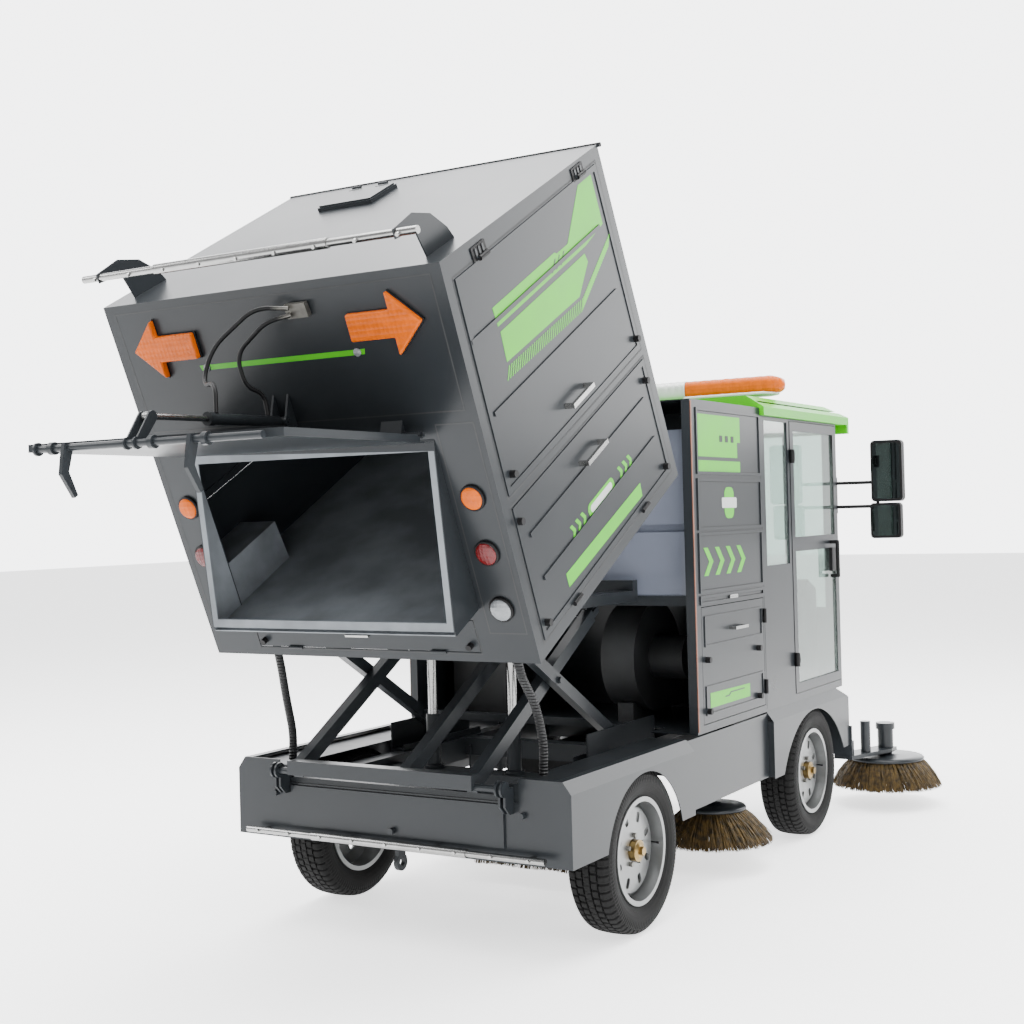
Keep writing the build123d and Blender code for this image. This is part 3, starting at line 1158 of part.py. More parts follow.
def mirror_arm():
    y = MIRROR_Y
    body = rod_x(MIRROR_PIVOT_X, 866, y, 1595, 8) + rod_x(MIRROR_PIVOT_X, 866, y, 1481, 8)
    body += rod_z(1450, 1625, MIRROR_PIVOT_X, y, 14) + rod_z(1360, 1700, 866, y, 8)
    large = fillet(block(842, 992, y - 22, y + 22, 1502, 1792).edges().filter_by(Axis.Y), 20)
    small = fillet(block(834, 980, y - 20, y + 20, 1328, 1496).edges().filter_by(Axis.Y), 18)
    return body + large + small


parts["mirror_right"] = [mirror_arm()]
parts["mirror_left"] = [mirror(mirror_arm(), about=Plane.YZ)]


# ---- brushes ------------------------------------------------------------------------------------------
def bristle_cone(x, y, tip_r, plate_r, tip_z, plate_z, thick):
    """A brush: a plate, and its flared ring of bristles as one hollow cone."""
    plate = rod_z(plate_z, plate_z + thick, x, y, plate_r)
    cone = Pos(x, y, (tip_z + plate_z) / 2) * Cone(tip_r, plate_r, plate_z - tip_z)
    hollow = Pos(x, y, (tip_z + plate_z) / 2 - 10) * Cone(tip_r - 62, plate_r - 50, plate_z - tip_z)
    return [plate, cone - hollow]


ARM_PIVOT = (2262, 330)


def front_brush_arm():
    """The arm, post and motor that carry the front side brush, for the right side."""
    pivot_y, pivot_z = ARM_PIVOT
    arm = along_z([(612, pivot_y - 18), (700, pivot_y - 18), (BRUSH_X + 44, BRUSH_Y - 40), (BRUSH_X + 44, BRUSH_Y + 40),
                   (BRUSH_X - 44, BRUSH_Y + 40), (612, pivot_y + 40)], 262, 280)
    body = arm + rod_z(280, 400, BRUSH_X, BRUSH_Y, 38) + rod_z(372, 402, BRUSH_X, BRUSH_Y, 46)
    body += block(612, 700, pivot_y - 18, pivot_y + 18, 270, 350) + rod_z(270, 430, 720, 2395, 24)
    body -= block(634, 678, pivot_y - 40, pivot_y + 40, 300, 420)
    return body - rod_x(600, 710, pivot_y, pivot_z, 10 + RUN_GAP)


def arm_bracket():
    pivot_y, pivot_z = ARM_PIVOT
    body = block(600, 712, NOSE_Y + SEAT_GAP, NOSE_Y + 10, 290, 430)
    body += block(635, 677, NOSE_Y + 5, pivot_y + 14, 310, 352)
    return body + rod_x(614, 698, pivot_y, pivot_z, 10)


parts["side_skirts"] += both(arm_bracket())
parts["brush_arm_right"] = [front_brush_arm()]
parts["brush_arm_left"] = [mirror(front_brush_arm(), about=Plane.YZ)]
front_brush = bristle_cone(BRUSH_X, BRUSH_Y, BRUSH_TIP_R, BRUSH_PLATE_R, BRUSH_TIP_Z, BRUSH_PLATE_Z, 18)
front_brush[0] += rod_z(240, 261.5, BRUSH_X, BRUSH_Y, 30)
mid_brush = bristle_cone(MID_BRUSH_X, MID_BRUSH_Y, MID_TIP_R, MID_PLATE_R, MID_TIP_Z, MID_PLATE_Z, 18)
mid_brush[0] += rod_z(MID_PLATE_Z + 10, MID_PLATE_Z + 29.5, MID_BRUSH_X, MID_BRUSH_Y, 30)
parts["front_brush_right"] = front_brush
parts["front_brush_left"] = [mirror(s, about=Plane.YZ) for s in front_brush]
parts["middle_brush_right"] = mid_brush
parts["middle_brush_left"] = [mirror(s, about=Plane.YZ) for s in mid_brush]
parts["main_broom"] = [rod_x(-BROOM_HALF, BROOM_HALF, BROOM_Y, BROOM_Z, BROOM_R)
                       + rod_x(-BROOM_HALF - 20, BROOM_HALF + 20, BROOM_Y, BROOM_Z, 16)]


# ---- to the middle of the whole box, standing on z = 0 ---------------------------------------------------
everything = Compound([solid for shapes in parts.values() for s in shapes for solid in s.solids()])
box = everything.bounding_box()
SHIFT = (-(box.min.X + box.max.X) / 2, -(box.min.Y + box.max.Y) / 2, -box.min.Z)
for name, shapes in parts.items():
    solids = [solid for s in shapes for solid in s.solids()]
    export_step(Pos(*SHIFT) * Compound(solids), f"parts/{name}.step")
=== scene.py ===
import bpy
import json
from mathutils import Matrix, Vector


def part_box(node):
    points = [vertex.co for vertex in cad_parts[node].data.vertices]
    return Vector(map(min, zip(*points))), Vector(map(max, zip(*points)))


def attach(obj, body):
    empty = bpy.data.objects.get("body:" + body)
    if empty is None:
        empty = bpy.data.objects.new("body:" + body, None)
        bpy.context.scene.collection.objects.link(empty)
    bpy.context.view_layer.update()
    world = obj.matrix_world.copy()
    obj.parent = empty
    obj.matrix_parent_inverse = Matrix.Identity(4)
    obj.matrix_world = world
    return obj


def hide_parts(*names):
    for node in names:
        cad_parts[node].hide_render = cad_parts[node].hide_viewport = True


bl_info = {
    "name": "Ride-on Sweeper Looks",
    "version": (1, 0, 0),
    "blender": (4, 5, 0),
    "location": "3D View > Sidebar > Sweeper",
    "description": "Paint, tyres, brushes, lamps and markings of a cab sweeper with a high-tipping hopper",
    "category": "Object",
}

import json

import bmesh
import bpy
import numpy as np
from mathutils import Matrix, Vector

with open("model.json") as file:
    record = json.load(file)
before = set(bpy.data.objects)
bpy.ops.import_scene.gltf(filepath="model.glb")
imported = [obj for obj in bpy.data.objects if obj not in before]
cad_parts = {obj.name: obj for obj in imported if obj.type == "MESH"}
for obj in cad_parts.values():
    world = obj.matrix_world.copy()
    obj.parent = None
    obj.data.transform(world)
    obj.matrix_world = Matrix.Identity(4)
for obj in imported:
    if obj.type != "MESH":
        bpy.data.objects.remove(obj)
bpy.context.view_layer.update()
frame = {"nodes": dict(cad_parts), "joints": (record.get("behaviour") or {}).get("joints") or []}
NODES = frame["nodes"]
JOINTS = {j["name"]: j for j in frame["joints"]}
REAR_AXLE_Y = JOINTS["rear_wheel_right_spin"]["pos_m"][1]
HOPPER_ORIGIN = np.array([0.0, REAR_AXLE_Y - 0.6525, 1.0125])
HOPPER_TILT = np.radians(29.75)
U_DIR = np.array([0.0, np.cos(HOPPER_TILT), np.sin(HOPPER_TILT)])
V_DIR = np.array([0.0, -np.sin(HOPPER_TILT), np.cos(HOPPER_TILT)])
X_DIR = np.array([1.0, 0.0, 0.0])
REAR_LEAN = np.arctan2(0.147, 1.290)
REAR_UP = np.sin(REAR_LEAN) * U_DIR + np.cos(REAR_LEAN) * V_DIR
REAR_OUT = -np.cos(REAR_LEAN) * U_DIR + np.sin(REAR_LEAN) * V_DIR
BODY_HALF = 0.671
SIDES = (("right", 1), ("left", -1))


# ---------------------------------------------------------------- settings
def colour(name, text, value):
    return bpy.props.FloatVectorProperty(name=name, description=text, subtype="COLOR", size=3,
                                         min=0, max=1, default=value)


class SweeperColours(bpy.types.PropertyGroup):
    body: colour("Body", "Dark grey enamel of the sheet metal", (0.0150, 0.0175, 0.0200))
    lime: colour("Lime", "Lime enamel of the roof cap and the markings", (0.050, 0.36, 0.001))
    amber: colour("Amber", "Warning lamps", (0.40, 0.070, 0.0004))
    rim: colour("Rim", "Silver wheel rims", (0.19, 0.195, 0.195))
    tank: colour("Tank", "Moulded water tank", (0.13, 0.145, 0.185))
    bristle: colour("Bristle", "Brush bristles", (0.06, 0.036, 0.008))


class SweeperSizes(bpy.types.PropertyGroup):
    strands: bpy.props.IntProperty(name="Strands", description="Bristles on each side brush",
                                   default=3200, min=200, max=8000)
    strand_radius: bpy.props.FloatProperty(name="Strand radius", description="Half thickness of one bristle",
                                           default=0.0019, min=0.0005, max=0.004, unit="LENGTH")
    tread_depth: bpy.props.FloatProperty(name="Tread depth",
                                         description="Depth of the cross grooves in the tyres",
                                         default=0.005, min=0.001, max=0.009, unit="LENGTH")
    decal_lift: bpy.props.FloatProperty(name="Marking lift",
                                        description="How far a marking stands off its panel",
                                        default=0.0006, min=0.0002, max=0.002, unit="LENGTH")


# ---------------------------------------------------------------- finishes
MATERIALS = {}


def finish(name, base, rough=0.5, metal=0.0, spread=0.08, scale=5.0, bump=0.0, fine=220.0,
           coat=0.0, through=0.0, glow=0.0, cells=0.0, rings=0.0, shine=0.5):
    """One procedural finish: a base colour that drifts with soft noise, roughness with finer noise, and a
    bump from fine noise, from a raised cell pattern (cells per metre) or from bands along X (rings per metre)."""
    if name in MATERIALS:
        return MATERIALS[name]
    material = bpy.data.materials.new(name)
    material.use_nodes = True
    tree = material.node_tree
    shader = tree.nodes["Principled BSDF"]
    shader.inputs["Metallic"].default_value = metal
    shader.inputs["Coat Weight"].default_value = coat
    shader.inputs["Coat Roughness"].default_value = 0.12
    shader.inputs["Transmission Weight"].default_value = through
    shader.inputs["Specular IOR Level"].default_value = shine
    where = tree.nodes.new("ShaderNodeTexCoord").outputs["Object"]
    broad = tree.nodes.new("ShaderNodeTexNoise")
    broad.inputs["Scale"].default_value = scale
    broad.inputs["Detail"].default_value = 6
    ramp = tree.nodes.new("ShaderNodeValToRGB")
    low = [c * (1 - spread) for c in base]
    high = [min(1, c * (1 + spread)) for c in base]
    ramp.color_ramp.elements[0].color = (*low, 1)
    ramp.color_ramp.elements[1].color = (*high, 1)
    ramp.color_ramp.elements[0].position = 0.35
    ramp.color_ramp.elements[1].position = 0.65
    tree.links.new(where, broad.inputs["Vector"])
    tree.links.new(broad.outputs["Fac"], ramp.inputs["Fac"])
    tree.links.new(ramp.outputs["Color"], shader.inputs["Base Color"])
    grain = tree.nodes.new("ShaderNodeTexNoise")
    grain.inputs["Scale"].default_value = fine
    tree.links.new(where, grain.inputs["Vector"])
    spot = tree.nodes.new("ShaderNodeMapRange")
    spot.inputs["To Min"].default_value = max(0.02, rough * 0.82)
    spot.inputs["To Max"].default_value = min(1, rough * 1.18)
    tree.links.new(broad.outputs["Fac"], spot.inputs["Value"])
    tree.links.new(spot.outputs["Result"], shader.inputs["Roughness"])
    height = grain.outputs["Fac"]
    if cells:
        cell = tree.nodes.new("ShaderNodeTexVoronoi")
        cell.inputs["Scale"].default_value = cells
        cell.inputs["Randomness"].default_value = 0.0
        tree.links.new(where, cell.inputs["Vector"])
        height = cell.outputs["Distance"]
    if rings:
        band = tree.nodes.new("ShaderNodeTexWave")
        band.bands_direction = "Z"
        band.inputs["Scale"].default_value = rings
        tree.links.new(where, band.inputs["Vector"])
        height = band.outputs["Fac"]
    if bump:
        relief = tree.nodes.new("ShaderNodeBump")
        relief.inputs["Strength"].default_value = bump
        relief.inputs["Distance"].default_value = 0.004 if cells or rings else 0.001
        tree.links.new(height, relief.inputs["Height"])
        tree.links.new(relief.outputs["Normal"], shader.inputs["Normal"])
    if glow:
        shader.inputs["Emission Color"].default_value = (*base, 1)
        shader.inputs["Emission Strength"].default_value = glow
    MATERIALS[name] = material
    return material


def make_finishes():
    c = bpy.context.scene.sweeper_colours
    finish("body_enamel", c.body, 0.30, 0.0, 0.10, 2.2, 0.06, 260, shine=0.24)
    finish("frame_enamel", [v * 0.75 for v in c.body], 0.42, 0.0, 0.14, 7, 0.12, 180, shine=0.22)
    finish("lime_enamel", c.lime, 0.34, 0.0, 0.06, 3, 0.06, 240, shine=0.2)
    finish("lime_film", c.lime, 0.40, 0.0, 0.05, 9, 0.05, 300, shine=0.25)
    finish("dark_recess", (0.012, 0.013, 0.014), 0.6, 0.0, 0.3, 9, 0.2, 120)
    finish("black_moulding", (0.004, 0.004, 0.0045), 0.5, 0.0, 0.2, 20, 0.25, 700, shine=0.2)
    finish("rubber_seal", (0.003, 0.003, 0.003), 0.65, 0.0, 0.2, 30, 0.2, 500, shine=0.15)
    finish("hose_rubber", (0.003, 0.003, 0.0035), 0.5, 0.0, 0.2, 40, 0.3, 400, shine=0.25)
    finish("ribbed_hose", (0.006, 0.0063, 0.007), 0.5, 0.0, 0.2, 20, 0.9, rings=28)
    finish("tyre_rubber", (0.0055, 0.0055, 0.0055), 0.75, 0.0, 0.3, 14, 0.4, 340, shine=0.18)
    finish("rim_silver", c.rim, 0.34, 0.75, 0.06, 10, 0.1, 320, coat=0.2)
    finish("bright_steel", (0.30, 0.30, 0.295), 0.24, 1.0, 0.06, 30, 0.15, 300)
    finish("zinc_steel", (0.17, 0.165, 0.15), 0.38, 0.9, 0.12, 40, 0.2, 300)
    finish("brass", (0.26, 0.18, 0.07), 0.32, 1.0, 0.10, 40, 0.1, 300)
    finish("amber_lens", c.amber, 0.22, 0.0, 0.12, 30, 0.55, cells=62, glow=0.5, shine=0.15)
    finish("red_lens", (0.09, 0.002, 0.003), 0.2, 0.0, 0.12, 30, 0.5, cells=80, coat=0.2, shine=0.3)
    finish("clear_lens", (0.18, 0.19, 0.20), 0.18, 0.2, 0.08, 30, 0.5, cells=80, coat=0.2)
    finish("silver_housing", (0.50, 0.51, 0.50), 0.35, 0.3, 0.05, 8, 0.05, 200, coat=0.3)
    finish("tank_moulding", c.tank, 0.38, 0.0, 0.05, 3, 0.1, 160, coat=0.1)
    # The glass's own green tint, darkened further as painted shade for the dim cab behind it.
    finish("window_glass", (0.50, 0.60, 0.56), 0.03, 0.0, 0.02, 2, through=0.92)
    finish("mirror_glass", (0.16, 0.19, 0.185), 0.03, 1.0, 0.02, 2)
    finish("bristle_wire", c.bristle, 0.55, 0.15, 0.75, 46, 0.0)
    finish("seat_cloth", (0.018, 0.018, 0.020), 0.85, 0.0, 0.25, 60, 0.8, 900)
    # Painted light: this pale grey on the hopper's inside and chute stands in for the light that falls into the
    # hopper.
    finish("inner_liner", (0.15, 0.165, 0.18), 0.5, 0.0, 0.25, 5, 0.2, 90, shine=0.3)
    finish("edge_trim", (0.16, 0.055, 0.03), 0.5, 0.0, 0.2, 20, 0.2, 300)


# ---------------------------------------------------------------- mesh tools
def build(name, verts, faces, material, body, smooth=True, seal=True):
    """A mesh object from whole arrays, with its doubles merged and faces turned outwards, riding on a body."""
    mesh = bpy.data.meshes.new(name)
    verts = np.asarray(verts, float).reshape(-1, 3)
    if isinstance(faces, np.ndarray):
        count, corners = faces.shape
        mesh.vertices.add(len(verts))
        mesh.vertices.foreach_set("co", verts.astype(np.float32).ravel())
        mesh.loops.add(count * corners)
        mesh.loops.foreach_set("vertex_index", faces.astype(np.int32).ravel())
        mesh.polygons.add(count)
        mesh.polygons.foreach_set("loop_start", np.arange(0, count * corners, corners, dtype=np.int32))
        mesh.polygons.foreach_set("loop_total", np.full(count, corners, dtype=np.int32))
        mesh.update(calc_edges=True)
    else:
        mesh.from_pydata(verts.tolist(), [], faces)
    mesh.materials.append(material)
    if seal:
        edit = bmesh.new()
        edit.from_mesh(mesh)
        bmesh.ops.remove_doubles(edit, verts=edit.verts, dist=1e-6)
        bmesh.ops.dissolve_degenerate(edit, edges=edit.edges, dist=1e-7)
        bmesh.ops.recalc_face_normals(edit, faces=edit.faces)
        edit.to_mesh(mesh)
        edit.free()
    mesh.polygons.foreach_set("use_smooth", np.full(len(mesh.polygons), smooth))
    mesh.update()
    piece = bpy.data.objects.new(name, mesh)
    bpy.context.scene.collection.objects.link(piece)
    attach(piece, body)
    return piece


def grid_faces(rows, columns, wrap_rows=False, wrap_columns=False):
    """Quads of a grid of rows x columns points, joined round where a direction wraps."""
    i = np.arange(rows if wrap_rows else rows - 1)[:, None]
    j = np.arange(columns if wrap_columns else columns - 1)[None, :]
    i2, j2 = (i + 1) % rows, (j + 1) % columns
    quads = np.stack([i * columns + j, i2 * columns + j, i2 * columns + j2, i * columns + j2], axis=-1)
    return quads.reshape(-1, 4)


def lathe(profile, centre, axis, around=96):
    """A profile of (distance along the axis, radius) turned about an axis through the centre."""
    profile = np.asarray(profile, float)
    axis = np.asarray(axis, float) / np.linalg.norm(axis)
    side = np.cross(axis, [0.31, 0.57, 0.76])
    side /= np.linalg.norm(side)
    other = np.cross(axis, side)
    angle = np.linspace(0, 2 * np.pi, around, endpoint=False)[:, None, None]
    along, radius = profile[None, :, 0, None], profile[None, :, 1, None]
    points = np.asarray(centre) + along * axis + radius * (np.cos(angle) * side + np.sin(angle) * other)
    return points.reshape(-1, 3), grid_faces(around, len(profile), wrap_rows=True)


def prism(outline, origin, across, up, depth):
    """A flat outline of (across, up) points with a wall of the given depth behind it."""
    outline = np.asarray(outline, float)
    across, up = np.asarray(across, float), np.asarray(up, float)
    normal = np.cross(across, up)
    front = np.asarray(origin) + outline[:, :1] * across + outline[:, 1:] * up
    count = len(outline)
    faces = [list(range(count)), list(range(2 * count - 1, count - 1, -1))]
    faces += [[k, (k + 1) % count, (k + 1) % count + count, k + count] for k in range(count)]
    return np.vstack([front, front - depth * normal]), faces


def rounded(width, height, radius, steps=6):
    """A rounded rectangle about its own middle, anticlockwise."""
    turn = np.linspace(0, np.pi / 2, steps)
    corners = [(1, 1, 0), (-1, 1, 1), (-1, -1, 2), (1, -1, 3)]
    return np.vstack([np.stack([sx * (width / 2 - radius) + radius * np.cos(turn + q * np.pi / 2),
                                sy * (height / 2 - radius) + radius * np.sin(turn + q * np.pi / 2)], 1)
                      for sx, sy, q in corners])


def bevel(piece, width=0.002, segments=2):
    edge = piece.modifiers.new("edge", "BEVEL")
    edge.width = width
    edge.segments = segments
    edge.limit_method = "ANGLE"
    return piece


def paint(node, material, rules=()):
    """A CAD node's finish. Each rule is a finish and a test on the arrays of face middles."""
    mesh = NODES[node].data
    mesh.materials.clear()
    mesh.materials.append(material)
    if not rules:
        return
    count = len(mesh.polygons)
    middle = np.zeros(count * 3, np.float32)
    mesh.polygons.foreach_get("center", middle)
    middle = middle.reshape(-1, 3).astype(float)
    chosen = np.zeros(count, np.int32)
    for k, (finish_of, test) in enumerate(rules, 1):
        mesh.materials.append(finish_of)
        chosen[test(middle)] = k
    mesh.polygons.foreach_set("material_index", chosen)
    mesh.update()


def hopper_uv(points):
    """Distances along the hopper's bottom edge and above it, for an array of points."""
    away = points - HOPPER_ORIGIN
    return away @ U_DIR, away @ V_DIR


def out_of_rear(points):
    """How far points stand out of the hopper's rear plane."""
    return (points - HOPPER_ORIGIN) @ REAR_OUT


def on_hopper_side(sign, lift=0.0):
    """Origin and directions of a hopper side, seen from outside: across runs to the viewer's right."""
    origin = HOPPER_ORIGIN + X_DIR * sign * (0.674 + lift)
    return origin, U_DIR * sign, V_DIR


# ---------------------------------------------------------------- pieces
class SWEEPER_OT_paint_frame(bpy.types.Operator):
    """Give every carried-over metal, rubber and plastic part its finish"""
    bl_idname = "sweeper.paint_frame"
    bl_label = "Paint the machine"

    def execute(self, context):
        make_finishes()
        m = MATERIALS
        for node in NODES:
            paint(node, m["body_enamel"])
        for node in ("chassis_frame", "door_cylinder"):
            paint(node, m["frame_enamel"])
        for node in ("axles", "suction_fan", "hydraulic_unit", "knuckle_right", "knuckle_left"):
            paint(node, m["dark_recess"])
        for node in ("battery_pack", "dash_console", "steering_wheel", "drive_pedal"):
            paint(node, m["black_moulding"])
        barrel = lambda p: (np.abs(np.abs(p[:, 0]) - 0.178) < 0.045) & (
            np.abs(p[:, 1] - REAR_AXLE_Y + 0.02) < 0.05)
        paint("hydraulic_unit", m["dark_recess"], [(m["frame_enamel"], barrel)])
        paint("water_tank", m["tank_moulding"], [(m["black_moulding"], lambda p: p[:, 2] > 1.8005)])
        # Cab windows take the green glass, darkened as painted shade for the dim cab inside.
        paint("cab_windows", m["window_glass"])
        paint("roof_cap", m["lime_enamel"])
        paint("lift_hoses", m["ribbed_hose"])
        paint("lift_rods", m["bright_steel"])
        paint("door_rod", m["bright_steel"])
        paint("headlamps", m["clear_lens"])
        paint("upper_spray_bar", m["bright_steel"],
              [(m["body_enamel"], lambda p: (np.abs(np.abs(p[:, 0]) - 0.5895) < 0.0032))])
        paint("lower_spray_bar", m["bright_steel"])
        # The hopper's inside walls and chute get the pale painted-light finish, standing in for the light that
        # falls into the hopper.
        inner = lambda p: (np.abs(p[:, 0]) < 0.667) & (hopper_uv(p)[1] > 0.187) & (
            hopper_uv(p)[0] > 0.006 + 0.114 * hopper_uv(p)[1]) & (
            hopper_uv(p)[1] < 1.262) & (hopper_uv(p)[0] < 1.262)
        chute = lambda p: (np.abs(p[:, 0]) < 0.4935) & (hopper_uv(p)[1] > 0.19) & (
            hopper_uv(p)[1] < 0.7395) & (out_of_rear(p) > 0.001)
        paint("hopper_shell", m["body_enamel"], [(m["inner_liner"], inner), (m["inner_liner"], chute),
              (m["rubber_seal"], lambda p: (hopper_uv(p)[0] > 1.2705))])
        paint("hydraulic_hoses", m["hose_rubber"], [(m["zinc_steel"], lambda p: (p[:, 0] > 0.095))])
        for side, sign in SIDES:
            for corner in ("front", "rear"):
                wheel = JOINTS[f"{corner}_wheel_{side}_spin"]["pos_m"]
                radius = lambda p, w=wheel: np.hypot(p[:, 1] - w[1], p[:, 2] - w[2])
                paint(f"rim_{corner}_{side}", m["rim_silver"], [
                    (m["brass"], lambda p, r=radius: r(p) < 0.0385),
                    (m["zinc_steel"], lambda p, r=radius, s=sign, w=wheel:
                        (r(p) > 0.0425) & (r(p) < 0.063) & ((p[:, 0] - w[0]) * s > 0.0381))])
            bar = lambda p, s=sign: (p[:, 0] * s > 0.6741) & (np.abs(
                hopper_uv(p)[0] - 0.655) < 0.1) & (np.abs(hopper_uv(p)[1] - 0.51) < 0.115) & (
                np.minimum(np.abs(hopper_uv(p)[1] - 0.612), np.abs(hopper_uv(p)[1] - 0.408)) < 0.009)
            for door in ("upper", "lower"):
                paint(f"{door}_door_{side}", m["body_enamel"], [
                    (m["black_moulding"], lambda p, s=sign: p[:, 0] * s > 0.6798), (m["bright_steel"], bar)])
            pane = lambda p, s=sign: (np.abs(p[:, 0] * s - (BODY_HALF - 0.0095)) < 0.0028) & ~(
                np.abs(p[:, 0] * s - (BODY_HALF - 0.012)) > 0.0055)
            y0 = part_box(f"cab_door_{side}")[0].y
            inside = lambda p, s=sign, y=y0: pane(p, s) & (p[:, 1] > y + 0.045) & (p[:, 1] < y + 0.66)
            paint(f"cab_door_{side}", m["body_enamel"], [
                (m["rubber_seal"], lambda p, s=sign: (p[:, 0] * s < BODY_HALF + 0.0015)),
                (m["window_glass"], inside),
                (m["black_moulding"], lambda p, s=sign: (p[:, 0] * s > BODY_HALF + 0.0022))])
            paint(f"mirror_{side}", m["black_moulding"])
        paint("access_door", m["body_enamel"], [
            (m["black_moulding"], lambda p: p[:, 0] > BODY_HALF + 0.0001),
            (m["bright_steel"], lambda p: (p[:, 0] > BODY_HALF + 0.0001)
                & (np.abs(p[:, 2] - 1.006) < 0.0062))])
        paint("rear_flap", m["body_enamel"], [
            (m["black_moulding"], lambda p: (np.abs(p[:, 0]) > 0.41) & (out_of_rear(p) > 0.001)),
            (m["bright_steel"], lambda p: (np.abs(p[:, 0]) < 0.06) & (out_of_rear(p) > 0.001))])
        return {"FINISHED"}


class SWEEPER_OT_tyres(bpy.types.Operator):
    """Build four tyres with tread blocks and sidewall ribs"""
    bl_idname = "sweeper.tyres"
    bl_label = "Tyres"

    def execute(self, context):
        sizes = context.scene.sweeper_sizes
        half = np.array([[0.0657, 0.1785], [0.0657, 0.192], [0.0722, 0.205], [0.0738, 0.208], [0.0748, 0.2085],
                         [0.0805, 0.226], [0.0822, 0.238], [0.0818, 0.250], [0.0788, 0.262], [0.0796, 0.264],
                         [0.0770, 0.2675], [0.0735, 0.274], [0.0668, 0.2815], [0.0600, 0.2852], [0.0520, 0.2870],
                         [0.0440, 0.2880], [0.0435, 0.2800], [0.0385, 0.2802], [0.0380, 0.2884], [0.0290, 0.2892],
                         [0.0170, 0.2897], [0.0165, 0.2812], [0.0115, 0.2812], [0.0110, 0.2900], [0.0, 0.2900]])
        other = half[-2::-1] * [-1, 1]
        profile = np.vstack([half, other])
        around = 480
        turn = np.linspace(0, 2 * np.pi, around, endpoint=False)[:, None]
        x, radius = profile[None, :, 0], profile[None, :, 1]
        # cross grooves: the crown and shoulder sink by the tread depth in a square wave, offset from row to row
        row = np.select([np.abs(x) < 0.0112, np.abs(x) < 0.039, np.abs(x) < 0.0745], [0, 1, 2], 3)
        phase = np.select([row == 0, row == 1, row == 2], [0, 3, 1], 0) + np.where(x < 0, 2, 0)
        step = (np.arange(around)[:, None] + phase) % 8
        sink = (step < 2) & (radius > 0.268) & (row < 3)
        depth = np.where(sink, sizes.tread_depth * np.where(row == 0, 0.5, 1.0), 0.0)
        ribs = ((np.arange(around)[:, None] % 4) < 2) & (np.abs(radius - 0.256) < 0.013) & (np.abs(x) > 0.07)
        r = radius - depth
        across = x + np.where(ribs, np.sign(x) * 0.0010, 0.0)
        across = across - np.where(sink & (np.abs(x) > 0.06), np.sign(x) * 0.002, 0)
        across = np.broadcast_to(across, r.shape)
        for side, sign in SIDES:
            for corner in ("front", "rear"):
                hub = JOINTS[f"{corner}_wheel_{side}_spin"]["pos_m"]
                points = np.stack([hub[0] + across, hub[1] + r * np.cos(turn), hub[2] + r * np.sin(turn)], -1)
                faces = grid_faces(around, len(profile), wrap_rows=True, wrap_columns=True)
                tyre = build(f"tread_tyre_{corner}_{side}", points, faces, MATERIALS["tyre_rubber"],
                             f"{corner}_wheel_{side}", smooth=False)
                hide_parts(f"tyre_{corner}_{side}")
                valve = lathe([(0, 0), (0, 0.003), (0.024, 0.003), (0.026, 0.0045), (0.034, 0.0045), (0.036, 0)],
                              (hub[0] + sign * 0.034, hub[1] + 0.151, hub[2]), (sign, -0.25, 0), 12)
                build(f"valve_{corner}_{side}", *valve, MATERIALS["black_moulding"],
                              f"{corner}_wheel_{side}")
        return {"FINISHED"}


def strands(name, roots, tips, bow, radius, material, body):
    """Bristles as thin tapering three-sided tubes. Each follows root + (tip - root) t + bow 4 t (1 - t)."""
    t = np.linspace(0, 1, 4)[None, :, None]
    line = roots[:, None] + (tips - roots)[:, None] * t + bow[:, None] * 4 * t * (1 - t)
    way = tips - roots
    side = np.cross(way, [0.37, 0.11, 0.92])
    side /= np.linalg.norm(side, axis=1, keepdims=True)
    other = np.cross(way, side)
    other /= np.linalg.norm(other, axis=1, keepdims=True)
    angle = np.arange(3)[None, None, :, None] * 2 * np.pi / 3
    thick = (radius * (1 - 0.35 * t))[:, :, None]
    around = np.cos(angle) * side[:, None, None] + np.sin(angle) * other[:, None, None]
    points = line[:, :, None] + thick * around
    count = len(roots)
    one = grid_faces(4, 3, wrap_columns=True)
    faces = (np.arange(count)[:, None, None] * 12 + one[None]).reshape(-1, 4)
    return build(name, points.reshape(-1, 3), faces, material, body, seal=False)


